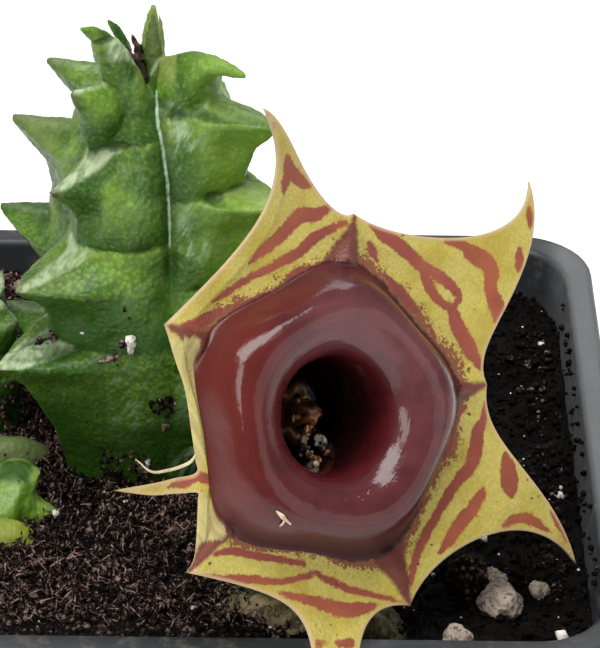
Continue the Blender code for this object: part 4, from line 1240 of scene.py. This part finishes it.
# Stripes, painted as strokes on the flower laid flat: (x, y, half its width) from point to point.
stripes = (
    # upper left lobe
    ((-8.7, 26.2, 0.21), (-8.4, 25.8, 0.26)),
    ((-7.6, 25.0, 0.21), (-7.3, 24.3, 0.21)),
    ((-5.1, 22.1, 0.21), (-4.7, 21.3, 0.51), (-4.3, 20.6, 0.68)),
    ((-4.5, 20.6, 0.51), (-4.6, 19.6, 0.43), (-4.5, 18.8, 0.17)),
    ((-4.0, 20.6, 0.51), (-3.0, 19.8, 0.47), (-2.1, 19.5, 0.34)),
    ((0.2, 17.7, 0.38), (-1.2, 17.0, 0.60), (-2.6, 16.9, 0.72), (-3.5, 16.0, 0.60), (-4.7, 14.9, 0.60),
     (-6.0, 13.9, 0.51), (-7.3, 12.8, 0.13)),
    ((1.8, 16.4, 0.21), (0.2, 15.8, 0.38), (-1.2, 15.0, 0.51), (-2.5, 13.9, 0.47), (-4.3, 12.9, 0.43),
     (-6.1, 12.1, 0.34), (-7.9, 11.2, 0.34), (-9.5, 10.2, 0.26), (-11.0, 9.3, 0.09)),
    ((-1.6, 12.5, 0.21), (-2.7, 12.1, 0.38), (-3.7, 11.4, 0.26)),
    ((-5.4, 10.3, 0.21), (-7.0, 9.5, 0.38), (-8.7, 8.7, 0.34), (-9.4, 8.0, 0.17)),
    ((-10.0, 8.7, 0.30), (-11.5, 8.0, 0.47), (-13.2, 7.4, 0.43), (-14.1, 7.1, 0.13)),
    # upper right lobe
    ((21.1, 18.6, 0.21), (21.3, 17.8, 0.44), (21.3, 16.7, 0.30)),
    ((19.9, 14.5, 0.34), (19.8, 13.5, 0.51), (19.7, 12.7, 0.30)),
    ((11.8, 15.1, 0.21), (13.6, 14.7, 0.51), (14.6, 14.0, 0.81), (16.0, 13.5, 0.85), (16.7, 12.5, 0.77),
     (16.5, 11.4, 0.64), (16.6, 10.4, 0.72), (17.1, 9.4, 0.77), (16.9, 8.0, 0.13)),
    ((4.2, 16.3, 0.17), (5.4, 15.5, 0.55), (6.9, 14.7, 0.64), (8.1, 13.8, 0.60), (9.3, 12.9, 0.55)),
    ((9.3, 12.9, 0.51), (11.2, 12.0, 0.51), (12.6, 11.1, 0.47), (13.3, 10.2, 0.32), (12.8, 9.5, 0.30)),
    ((9.6, 12.3, 0.43), (10.2, 11.2, 0.51), (10.8, 10.3, 0.47), (11.7, 9.6, 0.38), (12.6, 9.2, 0.43)),
    ((12.4, 9.3, 0.43), (12.9, 8.2, 0.68), (13.6, 6.9, 0.72), (14.4, 5.6, 0.68), (15.3, 4.1, 0.30)),
    ((4.1, 14.8, 0.21), (4.5, 14.0, 0.38), (5.1, 13.2, 0.13)),
    ((5.7, 12.1, 0.13), (7.1, 10.8, 0.43), (8.2, 9.7, 0.47), (9.1, 8.8, 0.13)),
    ((10.3, 7.7, 0.13), (10.8, 6.7, 0.17)),
    ((11.3, 4.6, 0.21), (11.9, 3.6, 0.34), (12.8, 2.9, 0.43)),
    # lower right lobe
    ((14.0, 0.7, 0.17), (13.1, 0.1, 0.55), (12.5, -1.2, 0.55), (12.3, -2.5, 0.43), (11.7, -3.9, 0.17)),
    ((15.9, 1.2, 0.13), (15.7, -0.3, 0.38), (15.2, -1.7, 0.60), (15.0, -3.3, 0.68), (14.4, -4.8, 0.64),
     (13.3, -5.8, 0.55), (12.2, -7.3, 0.49), (11.2, -8.8, 0.45), (10.1, -10.5, 0.45), (9.2, -12.1, 0.38),
     (8.6, -13.9, 0.34), (8.5, -14.8, 0.13)),
    ((16.1, -6.4, 0.13), (15.7, -7.1, 0.47), (14.7, -8.3, 0.60), (13.6, -9.4, 0.66), (12.5, -10.8, 0.55),
     (11.4, -12.0, 0.21)),
    ((18.1, -3.5, 0.30), (18.3, -4.4, 0.72), (18.5, -5.4, 0.94), (18.8, -6.4, 0.77), (19.1, -7.4, 0.21)),
    ((18.1, -9.9, 0.21), (19.1, -9.3, 0.43), (20.5, -9.2, 0.47), (21.8, -9.6, 0.44), (23.3, -10.5, 0.13)),
    ((23.4, -8.6, 0.13), (24.2, -9.6, 0.30), (25.2, -10.9, 0.24), (25.9, -12.0, 0.09)),
    ((24.5, -11.4, 0.09), (25.8, -12.6, 0.10)),
    ((10.5, -7.0, 0.13), (9.9, -7.7, 0.21), (9.2, -8.6, 0.09)),
    # lower lobe
    ((-11.5, -13.2, 0.09), (-9.3, -13.6, 0.26), (-7.5, -13.7, 0.38), (-4.7, -14.0, 0.28), (-2.7, -13.9, 0.26),
     (-1.0, -13.5, 0.30)),
    ((-0.6, -13.4, 0.27), (0.9, -14.2, 0.32), (2.6, -14.9, 0.32), (4.7, -15.4, 0.28), (6.6, -15.8, 0.19),
     (7.8, -16.3, 0.10)),
    ((-4.2, -14.9, 0.13), (-2.2, -15.5, 0.38), (-0.2, -16.0, 0.51), (1.8, -16.6, 0.68), (3.5, -16.6, 0.60),
     (4.9, -16.4, 0.34)),
    ((-1.0, -19.5, 0.34), (-0.1, -19.3, 0.26)),
    ((1.2, -19.5, 0.34), (2.4, -19.5, 0.43)),
    ((-10.4, -11.6, 0.26), (-8.9, -11.3, 0.34), (-6.4, -11.8, 0.34), (-4.1, -12.2, 0.30), (-1.8, -12.6, 0.26)),
    # left lobe
    ((-16.2, -6.6, 0.09), (-14.6, -6.15, 0.30), (-13.0, -5.6, 0.46), (-12.1, -5.0, 0.50), (-10.8, -5.4, 0.38)),
)
specks = (  # small dark dots: (x, y, radius)
    (20.6, -5.8, 0.17), (21.2, -7.5, 0.15), (22.0, -7.3, 0.17), (22.2, -8.2, 0.13), (15.2, -8.9, 0.13),
    (14.3, 0.1, 0.13), (13.8, 1.6, 0.21), (10.6, -11.3, 0.13), (9.3, -12.9, 0.13), (17.3, -7.7, 0.10),
    (16.7, -9.2, 0.10), (7.3, 15.5, 0.17), (9.2, 15.0, 0.09), (16.9, 9.9, 0.13), (14.8, 9.2, 0.10),
    (13.2, 15.1, 0.10), (12.8, 10.6, 0.14), (14.2, 4.0, 0.13), (13.0, 2.9, 0.17), (14.0, 1.3, 0.19),
    (14.4, 0.0, 0.10), (-5.0, 13.1, 0.10), (-1.1, 14.6, 0.09), (0.6, 15.0, 0.09), (-4.1, 11.9, 0.09),
    (-10.9, -12.3, 0.17), (-7.9, -12.7, 0.13), (-6.0, -12.2, 0.13), (-0.9, -17.8, 0.15), (-0.5, -18.4, 0.13),
    (0.7, -17.8, 0.13), (1.1, -18.7, 0.10), (1.4, -14.4, 0.13),
)
# The red creases that run from the ring out to the small teeth: half the width at the ring, and their lean.
creases = ((1.6, 0.5), (1.2, 0.0), (1.3, -0.6), (1.9, 0.4), (1.1, -0.3))


def flowerFrame():  # Z looks out of the flower
    azimuth, elevation = math.radians(flowerShape["azimuth"]), math.radians(flowerShape["elevation"])
    level = math.cos(elevation)
    out = Vector((math.cos(azimuth) * level, math.sin(azimuth) * level, math.sin(elevation)))
    right = Vector((0.0, 0.0, 1.0)).cross(out).normalized()
    axes = Matrix((right, out.cross(right), out)).transposed().to_4x4()
    x, y, z = flowerShape["centre"]
    spin = Matrix.Rotation(math.radians(flowerShape["spin"]), 4, "Z")
    return Matrix.Translation((x, y, z + rimHeight)) @ axes @ spin


flowerAxes = flowerFrame()


def lobeAxis(number):
    return math.radians(flowerShape["firstLobe"] + lobeTurn * number)


def toothSpot(number, side):  # the small tooth at a lobe's left (1) or right (-1), in the lobe's frame
    reach = lobes[number if side > 0.0 else number - 1]["tooth"]
    return polar(reach, math.radians(lobeTurn / 2.0 * side)).to_2d()


def marginPoint(number, share):  # from the tip at 0 to the tooth at its left at 1, or at its right at -1
    lobe = lobes[number]
    name, side = ("left", 1.0) if share >= 0.0 else ("right", -1.0)
    if name in lobe:
        return bezier((toothSpot(number, side), *lobe[name], lobe["tip"]), 1.0 - abs(share))
    through = (toothSpot(number, side), *lobe[name + "Line"], lobe["tip"])
    line = softLine([(*point, 0.0) for point in through], 8)
    place = (1.0 - abs(share)) * (len(line) - 1)
    step = min(int(place), len(line) - 2)
    return line[step].lerp(line[step + 1], place - step).to_2d()


def limbPoint(number, share, limb, foot):  # limb runs from 0 at the ring to 1 at the margin
    def middle(place):
        return (marginPoint(number, place) + marginPoint(number, -place)) / 2.0

    place = 1.0 - limb * (1.0 - abs(share))
    side = 1.0 if share >= 0.0 else -1.0
    out = abs(share) ** (1.0 - limb) if share or limb == 1.0 else 0.0
    spot = middle(place).lerp(marginPoint(number, side * place), out)
    chord = middle(1.0).lerp(marginPoint(number, side), abs(share))
    return spot + (foot - chord) * (1.0 - limb)


def bent(number, flat):  # where a point of a flat lobe lies after the folds
    along, across, above = flat
    tooth = toothSpot(number, 1.0 if across >= 0.0 else -1.0)
    wide = min(abs(across / tooth.y), 1.0)
    for place, bend, radius in lobes[number]["folds"]:
        fold = place + max(tooth.x - place, 0.0) * wide ** 2
        past = along - fold
        if past <= 0.0:
            continue
        sign = 1.0 if bend >= 0.0 else -1.0
        most = math.radians(abs(bend))
        turn = min(past / radius, most)
        rest = max(past - most * radius, 0.0)
        out = fold + math.sin(turn) * radius + math.cos(turn) * rest
        down = (1.0 - math.cos(turn)) * radius + math.sin(turn) * rest
        along = out + sign * above * math.sin(turn)
        above = above * math.cos(turn) - sign * down
    return Vector((along, across, above))


def ringEdge(angle):  # a soft pentagon, its corners at the small teeth
    corner = math.cos(5.0 * (angle - math.radians(flowerShape["firstLobe"] + lobeTurn / 2.0)))
    return flowerShape["ringEdge"] + flowerShape["ringCorner"] * corner


def sectionRows(kind, profile):
    return [(kind, point.x, point.y) for point in softLine([(*pair, 0.0) for pair in profile], 3)]


def openFlower():
    toLobe, limbRows, backRows = (flowerShape[name] for name in ("columns", "limbRows", "backRows"))
    columns = toLobe * 5
    rows = sectionRows("ring", ringProfile)[:-1]
    rows += [("limb", (row / limbRows) ** 0.9, 0.1) for row in range(limbRows + 1)]
    rows += [("back", (1.0 - row / backRows) ** 0.9, 0.1) for row in range(backRows + 1)]
    rows += sectionRows("under", backProfile)[1:]
    notes = {"flatX": [], "flatY": [], "outside": [], "back": []}  # each point on the flower laid flat

    def place(share, row):
        kind, first, second = rows[row]
        number, step = divmod(round(share * columns) % columns, toLobe)
        side = 2.0 * step / toLobe - 1.0  # -1 and 1 are the small teeth
        axis = lobeAxis(number)
        local = math.radians(lobeTurn / 2.0 * side)
        edge = ringEdge(axis + local)
        if kind in ("ring", "under"):
            out = first / flowerShape["ringEdge"]
            size = first * (1.0 + (edge / flowerShape["ringEdge"] - 1.0) * out ** 3)
            flat = polar(size, local, second)
            outside = first - flowerShape["ringEdge"]
        else:
            foot = polar(edge, local).to_2d()
            spot = limbPoint(number, side, first, foot)
            above = second
            near = (1.0 - abs(side)) * spot.length * 0.63
            ridge = math.exp(-(near / 0.8) ** 2) * (1.0 - first) ** 0.5  # runs out to each small tooth
            if kind == "limb":
                above += 0.55 * ridge - 0.25 * math.sin(math.pi * min(first * 1.6, 1.0)) * (1.0 - ridge)
                above -= 0.05 if first == 1.0 else 0.0
            else:
                thick = flowerShape["limb"] + (flowerShape["margin"] - flowerShape["limb"]) * first ** 0.6
                above += 0.35 * ridge - thick + (0.05 if first == 1.0 else 0.0)
            flat = Vector((spot.x, spot.y, above))
            outside = (spot - foot).length
        turned = Matrix.Rotation(axis, 3, "Z")
        onPlane = turned @ Vector((flat.x, flat.y, 0.0))
        behind = 1.0 if kind in ("back", "under") else 0.0
        for values, value in zip(notes.values(), (onPlane.x, onPlane.y, outside, behind)):
            values.append(value)
        return flowerAxes @ (turned @ bent(number, flat))

    return wrapSheet("corollaSkin", columns, len(rows) - 1, place, notes)


def readValues(piece, name):
    values = np.zeros(len(piece.data.vertices), np.float32)
    piece.data.attributes[name].data.foreach_get("value", values)
    return values.astype(float)


def strokeDistance(x, y, strokes):  # how far each point lies outside the nearest stroke; below zero inside
    nearest = np.full(len(x), 9.0)
    for stroke in strokes:
        line = softLine(stroke, 4)
        for a, b in zip(line, line[1:]):
            dx, dy = b.x - a.x, b.y - a.y
            t = np.clip(((x - a.x) * dx + (y - a.y) * dy) / max(dx * dx + dy * dy, 1e-9), 0.0, 1.0)
            away = np.hypot(x - a.x - t * dx, y - a.y - t * dy) - (a.z + t * (b.z - a.z))
            nearest = np.minimum(nearest, away)
    return nearest


def paintFlower(flower):
    x, y = readValues(flower, "flatX"), readValues(flower, "flatY")
    giveValues(flower, "stripe", strokeDistance(x, y, stripes))
    giveValues(flower, "speck", strokeDistance(x, y, [((a, b, r), (a + 0.05, b, r)) for a, b, r in specks]))
    wedges, edge = [], []
    half = Matrix.Rotation(math.radians(lobeTurn / 2.0), 2)
    for number, (wide, lean) in enumerate(creases):
        turned = Matrix.Rotation(lobeAxis(number), 2)
        reach = lobes[number]["tooth"]
        line = ((reach - 0.2, 0.0, 0.05), ((reach + 12.6) / 2, lean * 0.4, 0.45 * wide), (12.4, lean, wide))
        wedges.append([(*(turned @ (half @ Vector((along, across)))), width) for along, across, width in line])
        edge.append([(*(turned @ marginPoint(number, share / 16.0)), 0.0) for share in range(-16, 17)])
    giveValues(flower, "wedge", strokeDistance(x, y, wedges))
    giveValues(flower, "edge", strokeDistance(x, y, edge))
    turn = lobeAxis(2)  # the left lobe but for its spike
    along, across = x * math.cos(turn) + y * math.sin(turn), y * math.cos(turn) - x * math.sin(turn)
    fold = (np.abs(across) < 8.5) & (along > 11.0) & (along < 14.0) & (np.abs(across - 3.4) > 1.6)
    giveValues(flower, "fold", np.where(fold, 1.0, 0.0))


def petalMaterial():
    paint = Paint("stripedPetal", 0.4, Subsurface_Weight=0.10, Subsurface_Scale=0.0008, IOR=1.45,
                  Specular_IOR_Level=0.45)
    paint.shader.inputs["Subsurface Radius"].default_value = (1.0, 0.5, 0.25)
    outside, back = paint.value("outside"), paint.value("back")
    fine = paint.noise(1500.0, 3.0, 0.6)
    broad = paint.noise(260.0, 3.0, 0.55)
    grit = paint.noise(4200.0, 2.0, 0.5)
    ragged = paint.times(paint.minus(fine, 0.5), 0.55)
    ragged = paint.plus(ragged, paint.times(paint.minus(grit, 0.5), 0.3))
    ground = paint.veil((0.43, 0.34, 0.048), (0.51, 0.43, 0.10), broad, 0.35, 0.65)
    ground = paint.veil(ground, (0.40, 0.22, 0.07), grit, 0.60, 0.70, 0.0, 0.30)
    papillae = paint.cells(3400.0)
    ground = paint.veil(ground, (0.26, 0.17, 0.035), papillae, 0.32, 0.62, 0.0, 0.22)
    ground = paint.veil(ground, (0.62, 0.53, 0.22), papillae, 0.05, 0.25, 0.2, 0.0)
    stripe = paint.veil((0.33, 0.088, 0.036), (0.25, 0.058, 0.030), broad, 0.3, 0.7)
    stripe = paint.veil(stripe, (0.24, 0.045, 0.035), outside, 0.0, 7.0, 0.75, 0.0)
    edgeOfStripe = paint.plus(paint.value("stripe"), ragged)
    limb = paint.veil(ground, stripe, edgeOfStripe, -0.10, 0.12, 1.0, 0.0)
    # dots close to the ring
    dots = paint.cells(2300.0)
    dots = paint.plus(dots, paint.times(fine, 0.5))
    dotted = paint.times(paint.step(dots, 0.38, 0.50, 1.0, 0.0), paint.step(outside, 0.3, 3.2, 1.0, 0.0))
    limb = paint.blend(dotted, limb, (0.22, 0.05, 0.04))
    reach = paint.plus(outside, paint.times(paint.minus(broad, 0.5), 5.0))
    stipple = paint.plus(paint.times(fine, 0.4), paint.times(grit, 0.6))
    stipple = paint.minus(stipple, paint.step(reach, 0.2, 2.2, 0.0, 0.22))
    fringe = paint.times(paint.step(reach, 1.6, 2.2, 0.9, 0.0), paint.step(stipple, 0.36, 0.42))
    limb = paint.blend(fringe, limb, (0.19, 0.045, 0.030))
    # the pale margin, and the red creases that run out to the small teeth
    limb = paint.veil(limb, (0.52, 0.37, 0.21), paint.value("edge"), 0.10, 0.42, 0.75, 0.0)
    wedge = paint.step(paint.plus(paint.value("wedge"), ragged), -0.12, 0.35, 1.0, 0.0)
    reds = paint.veil((0.12, 0.027, 0.019), (0.17, 0.047, 0.030), broad, 0.35, 0.65)
    limb = paint.blend(wedge, limb, reds)
    dot = paint.step(paint.value("speck"), -0.02, 0.06, 0.9, 0.0)
    limb = paint.blend(dot, limb, (0.09, 0.035, 0.02))
    # the thick ring
    flesh = paint.veil((0.050, 0.0055, 0.0080), (0.095, 0.0100, 0.0110), broad, 0.3, 0.7)
    rings = paint.bands(outside, 1.6, 3.0)
    flesh = paint.veil(flesh, (0.030, 0.0035, 0.0050), rings, 0.45, 0.7, 0.0, 0.55)
    across = paint.axis("X")
    flesh = paint.veil(flesh, (0.135, 0.019, 0.011), across, -0.001, 0.006, 0.65, 0.0)
    # painted reflection: a soft mauve sheen of the sky, more on the right and higher up the ring
    paintedReflection = paint.times(paint.step(across, 0.001, 0.009, 0.0, 0.42), paint.step(outside, -2.8, -1.2, 1.0, 0.25))
    paintedReflection = paint.times(paintedReflection, paint.step(outside, -7.4, -6.0))
    height = paint.axis("Z")
    paintedReflection = paint.times(paintedReflection, paint.step(height, 0.0750, 0.0900, 0.35, 1.35))
    flesh = paint.blend(paint.times(paintedReflection, paint.step(broad, 0.25, 0.6, 0.55, 1.0)), flesh, (0.17, 0.066, 0.072))
    limit = paint.plus(outside, paint.times(ragged, 1.6))
    ring = paint.step(limit, 0.12, 0.50, 1.0, 0.0)
    skin = paint.blend(ring, limb, flesh)
    shaded = paint.step(outside, -3.4, -0.8, 0.0, 0.92)
    shaded = paint.times(shaded, paint.step(height, 0.0755, 0.0800, 1.0, 0.0))
    skin = paint.blend(paint.times(shaded, ring), skin, (0.034, 0.0025, 0.0035))
    # painted shade in the groove along the ring's outer edge
    rimLine = paint.times(paint.step(outside, -0.9, -0.3), ring)
    skin = paint.blend(paint.times(rimLine, 0.25), skin, (0.040, 0.005, 0.006))
    # painted shade deep inside the tube
    deep = paint.step(outside, -7.9, -6.9, 1.0, 0.0)
    skin = paint.blend(deep, skin, (0.010, 0.002, 0.003))
    # the band folded back at the left: streaky yellows, the darker streaks painted shade in its creases
    folded = paint.times(paint.value("fold"), paint.step(outside, 0.1, 0.5))
    creased = paint.bands(outside, 1.3, 2.0)
    band = paint.veil((0.56, 0.49, 0.19), (0.36, 0.30, 0.12), creased, 0.35, 0.65)
    skin = paint.blend(paint.times(folded, 0.8), skin, band)
    behind = paint.veil((0.52, 0.50, 0.24), (0.40, 0.24, 0.12), fine, 0.55, 0.7, 0.0, 0.6)
    paint.shade("Base Color", paint.blend(back, skin, behind))
    dry = paint.step(limit, 0.0, 0.6, 0.14, 0.46)
    dry = paint.maths("MAXIMUM", dry, paint.step(outside, -1.9, -0.6, 0.14, 0.30))
    dry = paint.plus(dry, paint.times(shaded, 0.38))
    paint.shade("Roughness", paint.maths("MAXIMUM", dry, paint.times(back, 0.5)))
    bumps = paint.times(grit, paint.step(limit, -0.2, 0.8, 0.0, 1.0))
    swirls = paint.noise(620.0, 3.0, 0.6)
    studs = paint.times(paint.minus(1.0, papillae), paint.step(limit, -0.2, 0.8, 0.0, 1.0))
    paint.roughen((bumps, 0.45, 0.12), (studs, 0.4, 0.06), (swirls, 0.24, 0.20), (rings, 0.12, 0.25),
                  (broad, 0.14, 0.5))
    return paint.material


corolla = openFlower()
paintFlower(corolla)
finishPiece(corolla, petalMaterial(), ("corolla",))
print("flower opened")


coronaProfile = (  # radius, height over the tube's floor, how far it is drawn in between the five lobes
    (0.0, 0.0, 0.0), (0.8, 0.0, 0.0), (2.4, 0.1, 0.25), (3.0, 0.8, 0.35), (2.7, 1.5, 0.4), (1.8, 1.6, 0.3),
    (1.4, 3.2, 0.3), (1.0, 4.6, 0.35), (0.5, 5.2, 0.2), (0.0, 5.1, 0.0),
)


def growCorona():
    profile = softLine(coronaProfile, 4)
    foot = flowerShape["tubeFloor"] + 0.2

    def place(share, row):
        radius, height, star = profile[row]
        angle = 2.0 * math.pi * share
        out = max(radius, 0.0) * (1.0 - star + star * math.cos(2.5 * angle) ** 2)
        if row in (0, len(profile) - 1):
            out = 0.0
        return flowerAxes @ polar(out, angle, foot + height)

    return wrapSheet("coronaFlesh", 90, len(profile) - 1, place)


def coronaMaterial():
    paint = Paint("waxyCorona", 0.35)
    broad = paint.noise(900.0, 3.0, 0.6)
    tone = paint.plus(paint.times(broad, 0.8), paint.minus(paint.value("tone"), 0.4))
    colour = paint.ramp(tone, (
        (0.25, (0.012, 0.005, 0.004)), (0.42, (0.26, 0.085, 0.025)),
        (0.6, (0.66, 0.32, 0.11)), (0.85, (0.92, 0.82, 0.68))))
    paint.shade("Base Color", colour)
    paint.roughen((broad, 0.4, 0.3))
    return paint.material


calyxProfile = (  # radius between its lobes and on them, height on them and between them
    (0.0, 0.0, -2.0, -2.0), (0.8, 0.8, -2.0, -2.0), (2.0, 2.2, -1.9, -1.9), (3.4, 4.6, -1.2, -1.2),
    (4.8, 7.0, 0.8, -0.9), (5.6, 8.2, 4.0, -0.7), (5.4, 7.5, 4.2, -0.2), (4.6, 6.7, 1.2, 0.0),
    (3.2, 4.2, 0.0, 0.0), (0.8, 0.8, 0.0, 0.0), (0.0, 0.0, 0.0, 0.0),
)
stalkShape = {"foot": (-1.6, -8.8), "sunk": 3.6, "radius": 1.35, "rows": 60, "voxel": 0.24}


def growStalk():
    base = flowerShape["tubeBase"] - 0.35
    fine = []
    for a, b in zip(calyxProfile, calyxProfile[1:]):
        fine += [tuple(p + (q - p) * step / 4 for p, q in zip(a, b)) for step in range(4)]
    fine.append(calyxProfile[-1])

    def calyxPlace(share, row):
        inner, outer, high, low = fine[row]
        angle = 2.0 * math.pi * share
        onLobe = abs(math.cos(2.5 * angle)) ** 3
        out = inner + (outer - inner) * onLobe
        return flowerAxes @ polar(out, angle, base + low + (high - low) * onLobe)

    calyx = wrapSheet("calyx", 120, len(fine) - 1, calyxPlace)
    start = flowerAxes @ Vector((0.0, 0.0, base - 0.6))
    out = flowerAxes.to_3x3() @ Vector((0.0, 0.0, -1.0))
    x, y = stalkShape["foot"]
    end = Vector((x, y, rimHeight + soilTop(x, y) - stalkShape["sunk"]))
    route = (start, start + out * 5.5, end + Vector((1.6, -1.0, 7.5)), end)
    rows = stalkShape["rows"]

    def tubePlace(share, row):
        t = row / rows
        centre = bezier(route, t)
        along = (bezier(route, min(t + 0.01, 1.0)) - bezier(route, max(t - 0.01, 0.0))).normalized()
        side = along.cross(Vector((0.3, -1.0, 0.2))).normalized()
        up = side.cross(along)
        radius = stalkShape["radius"] * (1.0 + 0.06 * math.sin(9.0 * t) + 0.25 * (1.0 - t) ** 6)
        if row in (0, rows):
            radius = 0.0
        turn = 2.0 * math.pi * share
        return centre + (side * math.cos(turn) + up * math.sin(turn)) * radius

    tube = wrapSheet("tube", 36, rows, tubePlace)
    stalk = joinPieces([calyx, tube], "calyxAndStalk")
    remeshed(stalk, stalkShape["voxel"], 3)
    plainSkin(stalk)
    return stalk


coronaColours = coronaMaterial()
corona = growCorona()
giveValues(corona, "tone", [0.35] * len(corona.data.vertices))
finishPiece(corona, coronaColours, ("corona",))
coronaBits = [((x, y, z), 0.45, 7, (0.22, 0.62), tone) for x, y, z, tone in (
    (5.2, -21.3, 16.6, 0.55), (5.0, -23.2, 16.2, 0.65), (5.9, -23.3, 15.4, 0.45), (5.3, -22.0, 13.6, 0.9),
    (6.4, -20.6, 13.0, 0.1), (6.9, -21.6, 12.9, 0.95), (5.8, -22.6, 12.6, 1.0), (7.2, -23.2, 13.1, 0.15),
    (6.4, -25.4, 13.7, 0.6), (5.6, -24.0, 13.6, 0.2),
)]
strew("coronaBits", coronaBits, coronaColours)
strew("ringBits", ringBits, perlite, (corolla,))
scraps = {  # a pale forked scrap on the ring, as the bracts
    "paleScrap": (((3.2, -34.8, 15.2), (3.8, -34.9, 14.6), (4.5, -34.8, 13.7)), 0.16, 0.8),
    "paleScrapFork": (((3.9, -34.9, 14.5), (3.8, -34.9, 14.0), (3.5, -34.8, 13.5)), 0.11, 0.8),
}
scrapPale = mottled("paleScrapSkin", 0.6, ((0.50, 0.34, 0.22), (0.78, 0.64, 0.50)), 1500.0, 2.0)
for name, shape in scraps.items():
    finishPiece(growTwig(name, *shape), scrapPale)
sliverLine = (  # over the left lobe: (along its axis, across)
    (12.4, 1.2), (13.0, 1.8), (14.8, 2.3), (16.9, 2.6), (18.8, 2.8), (20.3, 2.6), (21.5, 2.1), (22.4, 1.8),
)


def curlSliver():  # the thin curled margin above the left lobe's spike
    turned = Matrix.Rotation(lobeAxis(2), 3, "Z")
    line = [flowerAxes @ (turned @ bent(2, Vector((*spot, 0.1)))) for spot in sliverLine]
    line = softLine(line, 5)
    last = len(line) - 1
    side = (flowerAxes.to_3x3() @ (turned @ Vector((0.0, 1.0, 0.0)))).normalized()

    def place(share, row):
        along = (line[min(row + 1, last)] - line[max(row - 1, 0)]).normalized()
        other = along.cross(side).normalized()
        half = 0.0 if row in (0, last) else 0.12 * (1.0 - row / last) ** 0.6 + 0.05  # thinner to its end
        turn = 2.0 * math.pi * share
        return line[row] + side * math.cos(turn) * half + other * math.sin(turn) * half * 0.5

    return wrapSheet("curledSliver", 16, last, place)


dryMargin = mottled("drySliver", 0.5, ((0.50, 0.40, 0.20), (0.66, 0.56, 0.36)), 500.0, edges=(0.35, 0.65))
finishPiece(curlSliver(), dryMargin)
stalkGreen = greenSkin("stalkSkin", {
    "dark": (0.13, 0.20, 0.04), "light": (0.24, 0.30, 0.08), "speck": (0.25, 0.13, 0.07),
    "bright": (0.32, 0.36, 0.14), "dull": (0.28, 0.30, 0.12), "pale": (0.3, 0.34, 0.16),
    "deep": (0.06, 0.09, 0.02), "line": (0.2, 0.25, 0.1), "tip": (0.13, 0.10, 0.05),
    "olive": (0.14, 0.17, 0.06),
}, 0.45)
finishPiece(growStalk(), stalkGreen, ("flower_stalk",))
print("stalk grown")


# floor, light and camera
paleFloor = mottled("paleFloor", 0.9, ((0.88, 0.88, 0.88), (0.92, 0.92, 0.915)), 8.0, 2.0, 0.5, (0.3, 0.7),
                    Emission_Color=(1.0, 1.0, 1.0, 1.0), Emission_Strength=0.35)
deselectAll()
bpy.ops.mesh.primitive_plane_add(size=6.0)
floor = bpy.context.object
floor.name = "floor"
floor.data.materials.append(paleFloor)

world = bpy.data.worlds.new("softDaylight")
bpy.context.scene.world = world
world.use_nodes = True
daylight = world.node_tree.nodes["Background"].inputs
daylight["Color"].default_value = (0.95, 0.97, 1.0, 1.0)
daylight["Strength"].default_value = 0.27

lights = {  # (place in metres, what it looks at, turn about its own axis, width, length, power in watts)
    "skyStrip": ((-0.09, -0.10, 0.62), (-0.08, -0.09, 0.0), 60.0, 0.50, 0.27, 3.6),
    "leftStrip": ((-0.27, -0.42, 0.44), (0.0, -0.02, 0.08), 0.0, 0.17, 0.40, 1.1),
    "backPanel": ((0.06, 0.62, 0.58), (0.0, 0.0, 0.08), 0.0, 0.52, 0.28, 1.2),
    "sidePanel": ((0.52, -0.32, 0.20), (0.0, 0.0, 0.08), 0.0, 0.45, 0.40, 0.55),
}
for name, (place, aim, spin, wide, long, power) in lights.items():
    deselectAll()
    facing = (Vector(aim) - Vector(place)).to_track_quat("-Z", "Y").to_matrix()
    facing = facing @ Matrix.Rotation(math.radians(spin), 3, "Z")
    bpy.ops.object.light_add(type="AREA", location=place, rotation=facing.to_euler())
    lamp = bpy.context.object
    lamp.name = name
    lamp.data.shape = "RECTANGLE"
    lamp.data.size = wide
    lamp.data.size_y = long
    lamp.data.energy = power

photoView = {  # in metres and degrees, the lens in millimetres
    "target": (0.005, 0.017, 0.065), "distance": 0.300, "down": 33.0, "roll": 0.7, "lens": 180.0,
}
turn = Matrix.Rotation(math.radians(90.0 - photoView["down"]), 4, "X")
turn = turn @ Matrix.Rotation(math.radians(photoView["roll"]), 4, "Z")
spot = Vector(photoView["target"]) + turn.to_3x3() @ Vector((0.0, 0.0, photoView["distance"]))
deselectAll()
bpy.ops.object.camera_add(location=spot, rotation=turn.to_euler())
camera = bpy.context.object
camera.data.sensor_fit = "HORIZONTAL"
camera.data.sensor_width = 36.0
camera.data.lens = photoView["lens"]
camera.data.clip_start = 0.01
bpy.context.scene.camera = camera
bpy.context.scene.view_settings.view_transform = "Standard"
print("stage set")
